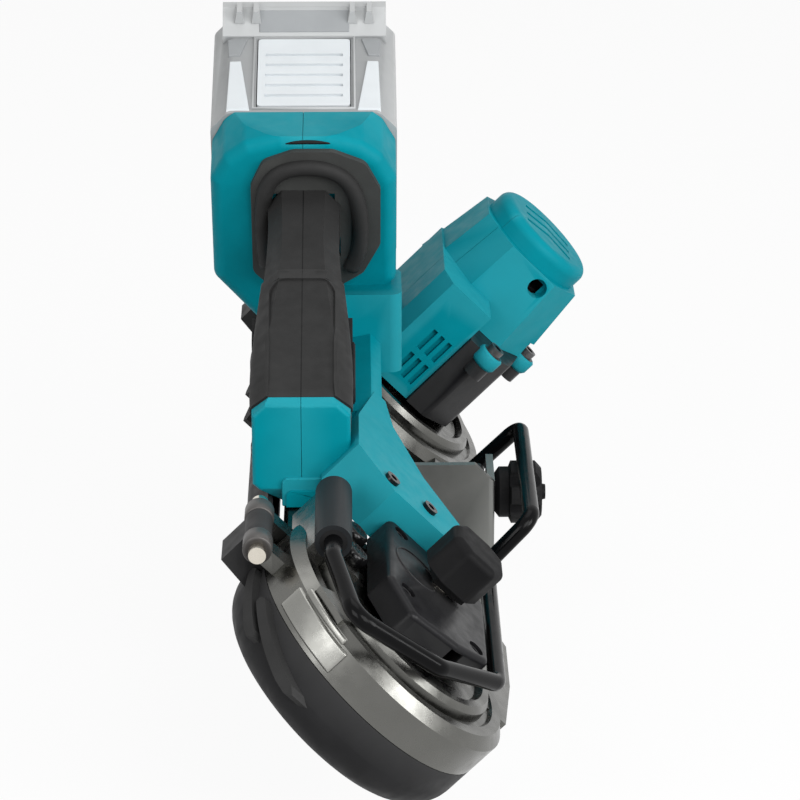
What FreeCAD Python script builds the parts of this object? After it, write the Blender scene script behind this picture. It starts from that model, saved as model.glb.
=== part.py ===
import FreeCAD, Part
import math
import os
import Sketcher

# Driving sizes in millimetres and degrees. Saw sizes are in the wheel frame: x across the saw from spine to
# throat, y rearward, z along the wheel axes, measured from the parting plane of frame and cover.
SIZES = {
    "origin_across": -15.2,
    "origin_along": 0.0,
    "origin_up": 84.0,
    "wheel_tilt": 45.0,
    "wheel_spacing": 252.0,
    "wheel_room": 8.8,
    "wheel_thick": 14.0,
    "wheel_level": -9.0,
    "tyre_thick": 3.0,
    "hub_radius": 17.0,
    "hub_bore": 6.0,
    "spoke_hole": 7.5,
    "spoke_pitch": 27.5,
    "blade_width": 13.0,
    "blade_thick": 0.6,
    "blade_gap": 0.3,
    "tooth_pitch": 1.8,
    "tooth_depth": 1.0,
    "frame_radius": 54.3,
    "rim_height": 17.0,
    "rim_chamfer": 4.0,
    "rim_land": 12.3,
    "ridge_width": 7.0,
    "ridge_height": 21.0,
    "groove_depth": 1.6,
    "spine_inset": 8.3,
    "spine_width": 20.0,
    "spine_height": 5.5,
    "arm_width": 24.3,
    "arm_height": 16.0,
    "front_arm_end": 78.0,
    "rear_arm_end": -102.0,
    "barrel_across": -45.0,
    "barrel_level": 26.0,
    "barrel_radius": 6.8,
    "barrel_rear": 38.0,
    "barrel_length": 46.0,
    "hinge_reach": 9.2,
    "hinge_level": 6.0,
    "knuckle_radius": 5.0,
    "pin_radius": 3.2,
    "pin_length": 48.0,
    "pin_overhang": 17.0,
    "cover_depth": 26.0,
    "cover_wall": 2.6,
    "cover_round": 15.0,
    "strip_depth": 20.5,
    "strip_round": 13.5,
    "arm_flare": 4.5,
    "rib_proud": 3.0,
    "part_gap": 0.3,
    "bearing_outer": 13.0,
    "bearing_inner": 6.0,
    "bearing_width": 7.0,
    "slide_half": 9.0,
    "slide_travel": 3.0,
    "box_left": -23.0,
    "box_right": 28.0,
    "box_rear": 41.0,
    "box_front": -28.0,
    "box_top": 33.0,
    "box_wall": 2.2,
    "lever_level": 38.0,
    "lever_height": 16.0,
    "lever_half": 12.5,
    "lever_across": 4.0,
    "lever_along": 19.0,
    "cam_radius": 8.5,
    "cam_offset": 1.5,
    "rod_radius": 3.3,
    "hook_right": 34.5,
    "hook_front": -54.0,
    "hook_level": 30.0,
    "hook_high": 55.0,
    "hook_step": -35.0,
    "hook_rear": -60.0,
    "guide_half": 13.0,
    "guide_depth": 13.0,
    "front_guide": 71.0,
    "rear_guide": -92.0,
    "roller_radius": 4.2,
    "motor_offset": 25.0,
    "motor_swing": 11.0,
    "gear_module": 1.0,
    "gear_teeth": 36.0,
    "pinion_teeth": 14.0,
    "case_base": 21.3,
    "case_top": 60.0,
    "case_radius": 28.5,
    "gear_room": 19.5,
    "motor_base_half": 30.5,
    "motor_end_half": 26.5,
    "motor_top": 106.0,
    "motor_cap": 10.0,
    "motor_wall": 3.0,
    "seam_turn": 50.0,
    "seam_gap": 0.2,
    "stop_front": -105.6,
    "stop_thick": 3.0,
    "stop_left": 4.0,
    "stop_right": 51.1,
    "stop_high": 16.0,
    "stop_low": -84.0,
    "stop_travel": 6.0,
    "knob_radius": 12.9,
    "knob_along": -91.0,
    "knob_up": -2.0,
    "handle_across": -25.7,
    "handle_along": -65.0,
    "handle_up": 78.0,
    "handle_slope": 20.0,
    "grip_length": 130.0,
    "grip_front_half": 18.6,
    "grip_neck_half": 14.2,
    "grip_flat": 12.2,
    "grip_side": 24.0,
    "grip_depth": 34.0,
    "rubber_thick": 2.2,
    "nose_lean": 12.0,
    "nose_depth": 43.0,
    "block_half": 37.5,
    "block_high": 24.0,
    "block_fall": 8.0,
    "block_low": 72.0,
    "block_thick": 28.0,
    "bar_outer": 50.0,
    "bar_inner": 32.0,
    "bar_top": 34.0,
    "trigger_along": 67.0,
    "trigger_travel": 6.0,
    "pack_half": 38.0,
    "pack_thick": 66.0,
    "pack_high": 15.5,
    "pack_crown": 8.5,
    "pack_low": 66.0,
    "rail_top": 2.0,
    "rail_low": 56.0,
    "button_start": 4.5,
    "button_long": 46.0,
    "button_thick": 4.4,
}

doc = FreeCAD.newDocument("band_saw")
sheet = doc.addObject("Spreadsheet::Sheet", "dim")
# These places are given from the front or the rear wheel's axis and follow it.
FROM_WHEEL = {
    "front_arm_end": "-",
    "barrel_rear": "-",
    "box_rear": "-",
    "box_front": "-",
    "lever_along": "-",
    "hook_front": "-",
    "front_guide": "-",
    "hook_rear": "+",
    "rear_arm_end": "+",
    "rear_guide": "+",
    "stop_front": "+",
    "knob_along": "+",
}
for row, (alias, value) in enumerate(SIZES.items(), start=1):
    sheet.set("A%d" % row, alias)
    place = "=%s %s wheel_spacing / 2" % (value, FROM_WHEEL[alias]) if alias in FROM_WHEEL else str(value)
    sheet.set("B%d" % row, place)
    sheet.setAlias("B%d" % row, alias)
doc.recompute()

# Sizes that follow the housings' radius by a named clearance or width.
WHEEL_R = "(dim.frame_radius - dim.wheel_room)"
RIDGE_R = "(dim.frame_radius - dim.rim_land)"
SPINE_OUT = "(dim.frame_radius - dim.spine_inset)"
SPINE_IN = "(dim.frame_radius - dim.spine_inset - dim.spine_width)"
ARM_IN = "(dim.frame_radius - dim.arm_width)"
HINGE_X = "(-dim.frame_radius - dim.hinge_reach)"
BLADE_X = "(%s + dim.blade_gap + dim.blade_thick / 2)" % WHEEL_R

V = FreeCAD.Vector
AXIS_X = V(1, 0, 0)
AXIS_Y = V(0, 1, 0)
AXIS_Z = V(0, 0, 1)
NODES = []


def num(alias):
    """Value of one cell of the sheet."""
    return float(sheet.get(alias))


def turn(axis, angle):
    """Rotation of angle degrees about axis."""
    return FreeCAD.Rotation(axis, angle)


ORIGIN = V(num("origin_across"), num("origin_along"), num("origin_up"))
WORLD = FreeCAD.Placement(ORIGIN, FreeCAD.Rotation())
SAW = FreeCAD.Placement(ORIGIN, turn(AXIS_Y, num("wheel_tilt")))
HAND_AT = V(num("handle_across"), num("handle_along"), num("handle_up"))
HAND = FreeCAD.Placement(ORIGIN + HAND_AT, turn(AXIS_X, num("handle_slope")))
FRONT = -num("wheel_spacing") / 2
REAR = num("wheel_spacing") / 2
SWING = math.radians(num("motor_swing"))
MOTOR = V(num("motor_offset") * math.sin(SWING), REAR + num("motor_offset") * math.cos(SWING), 0)


def at(frame, x, y, z, rotation=None):
    """Placement of a point (and rotation) given in a frame."""
    local = FreeCAD.Placement(V(x, y, z), rotation or FreeCAD.Rotation())
    return frame.multiply(local)


TO_X = turn(AXIS_Y, 90)
TO_Y = turn(AXIS_X, -90)


def bind(obj, prop, expression):
    """Bind a property to the sheet, or set it if it is a plain number."""
    text = str(expression)
    if "dim." in text:
        obj.setExpression(prop, text)
    else:
        setattr(obj, prop, float(text))


def node(obj, name):
    """Mark an object as a part of its own."""
    obj.Label = name
    NODES.append(obj)
    return obj


def box(name, length, width, height, placement):
    """Block with bound sides, its corner at the placement."""
    obj = doc.addObject("Part::Box", name)
    bind(obj, "Length", length)
    bind(obj, "Width", width)
    bind(obj, "Height", height)
    obj.Placement = placement
    return obj


def rod(name, radius, height, placement):
    """Cylinder with bound radius and height along the placement's z."""
    obj = doc.addObject("Part::Cylinder", name)
    bind(obj, "Radius", radius)
    bind(obj, "Height", height)
    obj.Placement = placement
    return obj


def cone(name, low, high, height, placement):
    """Cone with bound radii."""
    obj = doc.addObject("Part::Cone", name)
    bind(obj, "Radius1", low)
    bind(obj, "Radius2", high)
    bind(obj, "Height", height)
    obj.Placement = placement
    return obj


def fuse(name, pieces):
    """Union of objects."""
    obj = doc.addObject("Part::MultiFuse", name)
    obj.Shapes = pieces
    obj.Refine = True
    return obj


def cut(name, base, tools):
    """Base less its tools."""
    tool = tools[0]
    if len(tools) > 1:
        tool = fuse(name + "_tool", tools)
    obj = doc.addObject("Part::Cut", name)
    obj.Base = base
    obj.Tool = tool
    obj.Refine = True
    return obj


def common(name, base, tool):
    """What base and tool share."""
    obj = doc.addObject("Part::Common", name)
    obj.Base = base
    obj.Tool = tool
    return obj


def group(name, pieces):
    """Several equal small solids as one part."""
    obj = doc.addObject("Part::Compound", name)
    obj.Links = pieces
    return obj


def softened(name, base, radius, pick, kind="Part::Fillet"):
    """Round or bevel the edges a test picks; the base itself if the shape cannot take it."""
    doc.recompute()
    picked = [i for i, e in enumerate(base.Shape.Edges, start=1) if pick(e)]
    if not picked:
        return base
    obj = doc.addObject(kind, name)
    obj.Base = base
    obj.Edges = [(i, radius, radius) for i in picked]
    doc.recompute()
    if "Invalid" in obj.State or obj.Shape.isNull() or not obj.Shape.isValid():
        doc.removeObject(obj.Name)
        return base
    return obj


def body(name, frame):
    """Empty body standing in a frame."""
    obj = doc.addObject("PartDesign::Body", name)
    obj.Placement = frame
    return obj


PLANES = {
    "XY": (FreeCAD.Rotation(), "z"),
    "XZ": (turn(AXIS_X, 90), "y"),
    "YZ": (FreeCAD.Rotation(0.5, 0.5, 0.5, 0.5), "x"),
}


def sketch(owner, name, plane, offset):
    """Sketch on a plane of the body, moved off it by offset."""
    rotation, letter = PLANES[plane]
    obj = owner.newObject("Sketcher::SketchObject", name)
    obj.Placement = FreeCAD.Placement(V(0, 0, 0), rotation)
    obj.setExpression("Placement.Base." + letter, str(offset))
    return obj


def fix(sk, kind, geometry, point, expression):
    """Dimension of a sketch bound to the sheet."""
    text = str(expression)
    value = float(sheet.evalExpression(text))
    if point is None:
        index = sk.addConstraint(Sketcher.Constraint(kind, geometry, value))
    else:
        index = sk.addConstraint(Sketcher.Constraint(kind, geometry, point, value))
    sk.setExpression("Constraints[%d]" % index, text)


def circle(sk, x, y, radius):
    """Circle with bound centre and radius."""
    index = sk.addGeometry(Part.Circle(V(0, 0, 0), AXIS_Z, 1.0), False)
    fix(sk, "Radius", index, None, radius)
    fix(sk, "DistanceX", index, 3, x)
    fix(sk, "DistanceY", index, 3, y)


def polygon(sk, points):
    """Closed outline through bound corners."""
    count = len(points)
    ring = []
    for i in range(count):
        angle = 2 * math.pi * i / count
        ring.append(V(10 * math.cos(angle), 10 * math.sin(angle), 0))
    first = None
    for i in range(count):
        line = sk.addGeometry(Part.LineSegment(ring[i], ring[(i + 1) % count]), False)
        first = line if first is None else first
    for i in range(count):
        following = first + (i + 1) % count
        sk.addConstraint(Sketcher.Constraint("Coincident", first + i, 2, following, 1))
    for i, (x, y) in enumerate(points):
        fix(sk, "DistanceX", first + i, 1, x)
        fix(sk, "DistanceY", first + i, 1, y)


def outline(sk, points):
    """Closed outline, counter-clockwise, where a third value is the radius of an arc to the next corner."""
    spots = [V(float(sheet.evalExpression(p[0])), float(sheet.evalExpression(p[1])), 0) for p in points]
    count = len(points)
    for i in range(count):
        start = spots[i]
        stop = spots[(i + 1) % count]
        if len(points[i]) == 2:
            sk.addGeometry(Part.LineSegment(start, stop), False)
            continue
        radius = float(sheet.evalExpression(points[i][2]))
        run = stop - start
        rise = math.sqrt(radius ** 2 - run.Length ** 2 / 4)
        middle = (start + stop) * 0.5 + V(-run.y, run.x, 0).normalize() * rise
        first = math.atan2(start.y - middle.y, start.x - middle.x)
        last = math.atan2(stop.y - middle.y, stop.x - middle.x)
        sk.addGeometry(Part.ArcOfCircle(Part.Circle(middle, AXIS_Z, radius), first, last), False)
    for i in range(count):
        sk.addConstraint(Sketcher.Constraint("Coincident", i, 2, (i + 1) % count, 1))
    for i, point in enumerate(points):
        fix(sk, "DistanceX", i, 1, point[0])
        fix(sk, "DistanceY", i, 1, point[1])
        if len(point) == 3:
            fix(sk, "Radius", i, None, point[2])


def rect(sk, x0, y0, x1, y1):
    """Rectangle between two bound corners."""
    polygon(sk, [(x0, y0), (x1, y0), (x1, y1), (x0, y1)])


def pad(owner, sk, length, back=False):
    """Raise a sketch along its normal."""
    obj = owner.newObject("PartDesign::Pad", sk.Name + "_pad")
    obj.Profile = sk
    bind(obj, "Length", length)
    obj.Reversed = back
    sk.Visibility = False
    return obj


def pocket(owner, sk, length, back=False):
    """Sink a sketch against its normal."""
    obj = owner.newObject("PartDesign::Pocket", sk.Name + "_pocket")
    obj.Profile = sk
    bind(obj, "Length", length)
    obj.Reversed = back
    sk.Visibility = False
    return obj


def revolve(owner, sk, axis="V_Axis"):
    """Full turn of a sketch about its own axis."""
    obj = owner.newObject("PartDesign::Revolution", sk.Name + "_turn")
    obj.Profile = sk
    obj.ReferenceAxis = (sk, [axis])
    obj.Angle = 360
    sk.Visibility = False
    return obj


def groove(owner, sk, axis="V_Axis"):
    """Full turn of a sketch about its own axis, taken away."""
    obj = owner.newObject("PartDesign::Groove", sk.Name + "_groove")
    obj.Profile = sk
    obj.ReferenceAxis = (sk, [axis])
    obj.Angle = 360
    sk.Visibility = False
    return obj


def loft(owner, sections, cutting=False, ruled=False):
    """Skin over sections, added or taken away."""
    kind = "PartDesign::SubtractiveLoft" if cutting else "PartDesign::AdditiveLoft"
    obj = owner.newObject(kind, sections[0].Name + "_skin")
    obj.Profile = sections[0]
    obj.Sections = sections[1:]
    obj.Ruled = ruled
    return obj


def rounded(owner, radius, pick):
    """Round the picked edges of a body's tip if the shape can take it."""
    doc.recompute()
    tip = owner.Tip
    names = ["Edge%d" % i for i, e in enumerate(tip.Shape.Edges, start=1) if pick(e)]
    if not names:
        return
    obj = owner.newObject("PartDesign::Fillet", owner.Name + "_round")
    obj.Base = (tip, names)
    bind(obj, "Radius", radius)
    doc.recompute()
    if "Invalid" in obj.State or obj.Shape.isNull() or not obj.Shape.isValid():
        owner.removeObject(obj)
        doc.removeObject(obj.Name)
        owner.Tip = tip
        doc.recompute()


def along(edge, direction):
    """True for a straight edge along a direction."""
    if edge.Curve.TypeId != "Part::GeomLine":
        return False
    return abs(abs(edge.Curve.Direction.dot(direction)) - 1) < 1e-4


def is_ring(edge, radius, level, tolerance=0.05):
    """True for a circle of a radius at a height, in the shape's own frame."""
    if edge.Curve.TypeId != "Part::GeomCircle":
        return False
    near = abs(edge.Curve.Radius - radius) < tolerance
    return near and abs(edge.Curve.Center.z - level) < tolerance


# Main frame: two turned housings, spine, guide arms, hook barrel and hinge knuckles.
frame = body("main_frame", SAW)
RIM = [
    ("0", "0"),
    ("dim.frame_radius", "0"),
    ("dim.frame_radius", "dim.rim_height - dim.rim_chamfer"),
    ("dim.frame_radius - dim.rim_chamfer", "dim.rim_height"),
    (RIDGE_R + " + 4", "dim.rim_height"),
    (RIDGE_R + " + 3", "dim.rim_height - dim.groove_depth"),
    (RIDGE_R + " + 0.6", "dim.rim_height - dim.groove_depth"),
    (RIDGE_R, "dim.ridge_height - 2.2"),
    (RIDGE_R + " - 2", "dim.ridge_height"),
    (RIDGE_R + " - dim.ridge_width + 2", "dim.ridge_height"),
    (RIDGE_R + " - dim.ridge_width", "dim.ridge_height - 2.4"),
    ("0", "dim.ridge_height - 2.4"),
]
front_section = sketch(frame, "front_section", "XZ", "-dim.wheel_spacing / 2")
polygon(front_section, RIM)
revolve(frame, front_section)
rear_section = sketch(frame, "rear_section", "XZ", "dim.wheel_spacing / 2")
polygon(rear_section, RIM)
revolve(frame, rear_section)
spine = sketch(frame, "spine_section", "XZ", "dim.wheel_spacing / 2")
polygon(spine, [
    ("-" + SPINE_OUT, "0"),
    ("-" + SPINE_IN, "0"),
    ("-" + SPINE_IN, "dim.spine_height - 4"),
    ("-" + SPINE_IN + " - 4", "dim.spine_height"),
    ("-" + SPINE_OUT + " + 3", "dim.spine_height"),
    ("-" + SPINE_OUT, "dim.spine_height - 3"),
])
pad(frame, spine, "dim.wheel_spacing")
front_arm = sketch(frame, "front_arm", "XY", "0 * dim.arm_height")
polygon(front_arm, [
    (ARM_IN + " - 6", "-dim.wheel_spacing / 2"),
    ("dim.frame_radius", "-dim.wheel_spacing / 2"),
    ("dim.frame_radius + dim.arm_flare", "dim.front_arm_end - 40"),
    ("dim.frame_radius + dim.arm_flare", "dim.front_arm_end - 5"),
    ("dim.frame_radius + dim.arm_flare - 5", "dim.front_arm_end"),
    (ARM_IN, "dim.front_arm_end"),
    (ARM_IN + " - 6", "dim.front_arm_end - 26"),
])
pad(frame, front_arm, "dim.arm_height")
rear_arm = sketch(frame, "rear_arm", "XY", "0 * dim.arm_height")
polygon(rear_arm, [
    (ARM_IN + " - 6", "dim.wheel_spacing / 2"),
    ("dim.frame_radius", "dim.wheel_spacing / 2"),
    ("dim.frame_radius", "dim.rear_arm_end + 5"),
    ("dim.frame_radius - 5", "dim.rear_arm_end"),
    (ARM_IN, "dim.rear_arm_end"),
    (ARM_IN + " - 6", "dim.rear_arm_end + 30"),
])
pad(frame, rear_arm, "dim.arm_height")
barrel_web = sketch(frame, "barrel_web", "XZ", "dim.barrel_rear - 1")
polygon(barrel_web, [
    ("dim.barrel_across - dim.barrel_radius + 2", "dim.rim_height - 8"),
    ("dim.barrel_across + dim.barrel_radius + 10", "dim.rim_height - 8"),
    ("dim.barrel_across + dim.barrel_radius + 10", "dim.ridge_height + 1"),
    ("dim.barrel_across + dim.barrel_radius + 1.5", "dim.ridge_height + 1"),
    ("dim.barrel_across + 2", "dim.barrel_level + dim.barrel_radius - 1"),
    ("dim.barrel_across - dim.barrel_radius + 2", "dim.barrel_level"),
])
pad(frame, barrel_web, "dim.barrel_length - 2")
rim_pad = sketch(frame, "rim_pad", "XY", "dim.rim_height - 6")
polygon(rim_pad, [
    ("-dim.frame_radius * 0.80", "-dim.wheel_spacing / 2 - dim.frame_radius * 0.56"),
    ("-dim.frame_radius * 0.66", "-dim.wheel_spacing / 2 - dim.frame_radius * 0.46"),
    ("-dim.frame_radius * 0.48", "-dim.wheel_spacing / 2 - dim.frame_radius * 0.66"),
    ("-dim.frame_radius * 0.60", "-dim.wheel_spacing / 2 - dim.frame_radius * 0.78"),
])
pad(frame, rim_pad, "7.2")
HINGE_Y = {"front": "-dim.wheel_spacing / 2", "rear": "dim.wheel_spacing / 2"}
for side, middle in HINGE_Y.items():
    for place, shift in (("near", "- 3"), ("far", "+ 24")):
        arm = sketch(frame, "%s_%s_arm" % (side, place), "XZ", middle + shift)
        polygon(arm, [
            (HINGE_X, "dim.hinge_level - 3.2"),
            ("-dim.frame_radius + 18", "dim.hinge_level - 3.2"),
            ("-dim.frame_radius + 18", "dim.hinge_level + 3.2"),
            (HINGE_X, "dim.hinge_level + 3.2"),
        ])
        pad(frame, arm, "9")
        eye = sketch(frame, "%s_%s_eye" % (side, place), "XZ", middle + shift)
        circle(eye, HINGE_X, "dim.hinge_level", "dim.knuckle_radius")
        pad(frame, eye, "9")
    pin_hole = sketch(frame, side + "_pin_hole", "XZ", middle + "+ 26")
    circle(pin_hole, HINGE_X, "dim.hinge_level", "dim.pin_radius + 0.02")
    pocket(frame, pin_hole, "45", back=True)
drive_bore = sketch(frame, "drive_bore", "XY", "0 * dim.rim_height")
circle(drive_bore, "0", "dim.wheel_spacing / 2", "dim.bearing_outer + 0.02")
pocket(frame, drive_bore, "dim.ridge_height + 5", back=True)
slide_slot = sketch(frame, "slide_slot", "XY", "0 * dim.rim_height")
rect(
    slide_slot,
    "-dim.slide_half - 0.3",
    "-dim.wheel_spacing / 2 - dim.slide_half - 0.3",
    "dim.slide_half + 0.3",
    "-dim.wheel_spacing / 2 + dim.slide_half + dim.slide_travel + 0.6",
)
pocket(frame, slide_slot, "dim.ridge_height + 5", back=True)
for side in ("front", "rear"):
    roller_room = sketch(frame, side + "_roller_room", "XY", "0 * dim.arm_height")
    rect(roller_room, BLADE_X + "- 14", "dim.%s_guide - dim.roller_radius - 0.3" % side,
         BLADE_X + "+ 1.5", "dim.%s_guide + dim.roller_radius + 0.3" % side)
    pocket(frame, roller_room, "3.6", back=True)
barrel_seat = sketch(frame, "barrel_seat", "XZ", "dim.barrel_rear - dim.barrel_length")
circle(barrel_seat, "dim.barrel_across", "dim.barrel_level", "dim.barrel_radius + 0.02")
pocket(frame, barrel_seat, "dim.barrel_length")
node(frame, "main_frame")

# Barrel for the hook: a tube in the frame's cradle, closed at its rear end.
barrel = body("hook_barrel", SAW)
tube = sketch(barrel, "barrel_tube", "XZ", "dim.barrel_rear")
circle(tube, "dim.barrel_across", "dim.barrel_level", "dim.barrel_radius")
pad(barrel, tube, "dim.barrel_length")
barrel_bore = sketch(barrel, "barrel_bore", "XZ", "dim.barrel_rear - dim.barrel_length")
circle(barrel_bore, "dim.barrel_across", "dim.barrel_level", "dim.rod_radius + 0.05")
pocket(barrel, barrel_bore, "dim.barrel_length - 4")
bush_seat = sketch(barrel, "bush_seat", "XZ", "dim.barrel_rear - dim.barrel_length")
circle(bush_seat, "dim.barrel_across", "dim.barrel_level", "dim.rod_radius + 1.75")
pocket(barrel, bush_seat, "5")
node(barrel, "hook_barrel")

# Wheel cover: shell under the wheels with a strip along the spine and lugs on the hinge pins.
cover = body("wheel_cover", SAW)
TOP = "-dim.part_gap"
for side, middle in HINGE_Y.items():
    dish = sketch(cover, side + "_dish", "XZ", middle)
    outline(dish, [
        ("0 * dim.cover_depth", "-dim.cover_depth"),
        ("dim.frame_radius - dim.cover_round", "-dim.cover_depth", "dim.cover_round"),
        ("dim.frame_radius", "-dim.cover_depth + dim.cover_round"),
        ("dim.frame_radius", TOP),
        ("0 * dim.cover_depth", TOP),
    ])
    revolve(cover, dish)
strip = sketch(cover, "cover_strip", "XZ", "dim.wheel_spacing / 2")
outline(strip, [
    ("-dim.frame_radius", TOP),
    ("-dim.frame_radius", "-dim.strip_depth + dim.strip_round", "dim.strip_round"),
    ("-dim.frame_radius + dim.strip_round", "-dim.strip_depth"),
    ("-dim.frame_radius + dim.strip_round + 3", "-dim.strip_depth"),
    ("-dim.frame_radius + dim.strip_round + 3", TOP),
])
pad(cover, strip, "dim.wheel_spacing")
for side, middle in HINGE_Y.items():
    well = sketch(cover, side + "_well", "XZ", middle)
    outline(well, [
        ("0 * dim.cover_depth", "-dim.cover_depth + dim.cover_wall"),
        (
            "dim.frame_radius - dim.cover_round",
            "-dim.cover_depth + dim.cover_wall",
            "dim.cover_round - dim.cover_wall",
        ),
        ("dim.frame_radius - dim.cover_wall", "-dim.cover_depth + dim.cover_round"),
        ("dim.frame_radius - dim.cover_wall", "1 + 0 * dim.cover_depth"),
        ("0 * dim.cover_depth", "1"),
    ])
    groove(cover, well)
channel = sketch(cover, "strip_channel", "XZ", "-dim.wheel_spacing / 2")
outline(channel, [
    ("-dim.frame_radius + dim.cover_wall", "1 + 0 * dim.strip_depth"),
    (
        "-dim.frame_radius + dim.cover_wall",
        "-dim.strip_depth + dim.strip_round",
        "dim.strip_round - dim.cover_wall",
    ),
    ("-dim.frame_radius + dim.strip_round", "-dim.strip_depth + dim.cover_wall"),
    ("-dim.frame_radius + dim.strip_round + 12", "-dim.strip_depth + dim.cover_wall"),
    ("-dim.frame_radius + dim.strip_round + 12", "1"),
])
pocket(cover, channel, "dim.wheel_spacing")
for side, near, far in (
    ("front", "-dim.wheel_spacing / 2 + 10", "-dim.wheel_spacing / 2 + dim.frame_radius + 2"),
    ("rear", "dim.wheel_spacing / 2 - dim.frame_radius - 2", "dim.wheel_spacing / 2 - 12"),
):
    notch = sketch(cover, side + "_exit", "XY", TOP)
    rect(notch, "dim.frame_radius - 20", near, "dim.frame_radius + 2", far)
    pocket(cover, notch, "dim.cover_depth - dim.part_gap - dim.cover_wall - 0.2")
for side, middle in HINGE_Y.items():
    foot = sketch(cover, side + "_lug_foot", "XZ", middle + "+ 14.6")
    polygon(foot, [
        (HINGE_X + " - dim.knuckle_radius + 1", "-dim.strip_depth + dim.strip_round - 2"),
        ("-dim.frame_radius + 2.4", "-dim.strip_depth + dim.strip_round - 4"),
        ("-dim.frame_radius + 2.4", "-dim.part_gap - 0.2"),
        (HINGE_X + " + dim.knuckle_radius - 1", "-dim.part_gap - 0.2"),
        (HINGE_X + " + dim.knuckle_radius - 1", "dim.hinge_level"),
        (HINGE_X + " - dim.knuckle_radius + 1", "dim.hinge_level"),
    ])
    pad(cover, foot, "17.2")
    eye = sketch(cover, side + "_lug_eye", "XZ", middle + "+ 14.6")
    circle(eye, HINGE_X, "dim.hinge_level", "dim.knuckle_radius")
    pad(cover, eye, "17.2")
    lug_hole = sketch(cover, side + "_lug_hole", "XZ", middle + "+ 16")
    circle(lug_hole, HINGE_X, "dim.hinge_level", "dim.pin_radius + 0.06")
    pocket(cover, lug_hole, "22", back=True)
node(cover, "wheel_cover")

# Rubber bumper ribs that run slantwise over the cover's outer edge.
RIB_STARTS = {
    "front": ("-dim.wheel_spacing / 2 - 5.5", "-dim.wheel_spacing / 2 - 24"),
    "rear": ("dim.wheel_spacing / 2 - 38", "dim.wheel_spacing / 2 - 67"),
}
RIB_DEEP = 1.5
PROUD = num("rib_proud")
for side, starts in RIB_STARTS.items():
    ribs = []
    for number, start in zip(("one", "two"), starts):
        rib_body = body("%s_rib_%s" % (side, number), SAW)
        rib_name = "%s_rib_%s_outline" % (side, number)
        rib = sketch(rib_body, rib_name, "YZ", "-dim.frame_radius - dim.rib_proud - 1")
        polygon(rib, [
            (start, "-1.5 + 0 * dim.strip_depth"),
            (start + "- 25", "-10.5"),
            (start + "- 26.5", "-12.5"),
            (start + "- 25", "-14.5"),
            (start + "- 22", "-14"),
            (start + "+ 2", "-5.2"),
            (start + "+ 2.5", "-3"),
        ])
        pad(rib_body, rib, "dim.frame_radius")
        ribs.append(rib_body)
    if side == "front":
        ring = rod("rib_ring_outer", "dim.frame_radius + dim.rib_proud", 30, at(SAW, 0, FRONT, -25))
        hollow = rod("rib_ring_inner", "dim.frame_radius - %.1f" % RIB_DEEP, 40, at(SAW, 0, FRONT, -30))
        edge = cut("rib_ring", ring, [hollow])
    else:
        edge = box("rib_slab", "dim.rib_proud + %.1f" % RIB_DEEP, "dim.wheel_spacing", 30,
                   at(SAW, -num("frame_radius") - PROUD, FRONT, -25))
    strips = common("rib_strips_" + side, group("ribs_" + side, ribs), edge)
    node(cut("bumper_" + side, strips, [cover]), "bumper_" + side)

pins = []
for side, middle in (("front", FRONT), ("rear", REAR)):
    pin_across = -num("frame_radius") - num("hinge_reach")
    pin_place = at(SAW, pin_across, middle - num("pin_overhang"), num("hinge_level"), TO_Y)
    pins.append(rod("hinge_pin_" + side, "dim.pin_radius", "dim.pin_length", pin_place))
node(group("hinge_pins", pins), "hinge_pins")

# Wheels, tyres, bearings and shafts.


def wheel(name, middle, bore):
    """Spoked wheel turned about its axis, with six lightening holes."""
    obj = body(name, at(SAW, 0, middle, num("wheel_level")))
    half = sketch(obj, name + "_section", "XZ", "0 * dim.wheel_thick")
    polygon(half, [
        (bore, "-dim.wheel_thick / 2 + 4"),
        ("dim.hub_radius", "-dim.wheel_thick / 2 + 4"),
        ("dim.hub_radius + 1", "-3"),
        (WHEEL_R + " - dim.tyre_thick - 6", "-3"),
        (WHEEL_R + " - dim.tyre_thick - 5", "-dim.wheel_thick / 2"),
        (WHEEL_R + " - dim.tyre_thick", "-dim.wheel_thick / 2"),
        (WHEEL_R + " - dim.tyre_thick", "dim.wheel_thick / 2"),
        (WHEEL_R + " - dim.tyre_thick - 5", "dim.wheel_thick / 2"),
        (WHEEL_R + " - dim.tyre_thick - 6", "3"),
        ("dim.hub_radius + 1", "3"),
        ("dim.hub_radius", "dim.wheel_thick / 2"),
        (bore, "dim.wheel_thick / 2"),
    ])
    revolve(obj, half)
    holes = sketch(obj, name + "_holes", "XY", "-dim.wheel_thick / 2")
    for step in range(6):
        angle = 60 * step
        circle(
            holes,
            "dim.spoke_pitch * cos(%d)" % angle,
            "dim.spoke_pitch * sin(%d)" % angle,
            "dim.spoke_hole",
        )
    pocket(obj, holes, "dim.wheel_thick", back=True)
    return node(obj, name)


def tyre(name, middle):
    """Crowned rubber ring on a wheel."""
    obj = body(name, at(SAW, 0, middle, num("wheel_level")))
    half = sketch(obj, name + "_section", "XZ", "0 * dim.wheel_thick")
    polygon(half, [
        (WHEEL_R + " - dim.tyre_thick", "-dim.wheel_thick / 2"),
        (WHEEL_R + " - 0.8", "-dim.wheel_thick / 2"),
        (WHEEL_R, "-dim.wheel_thick / 2 + 2"),
        (WHEEL_R, "dim.wheel_thick / 2 - 2"),
        (WHEEL_R + " - 0.8", "dim.wheel_thick / 2"),
        (WHEEL_R + " - dim.tyre_thick", "dim.wheel_thick / 2"),
    ])
    revolve(obj, half)
    return node(obj, name)


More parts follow.
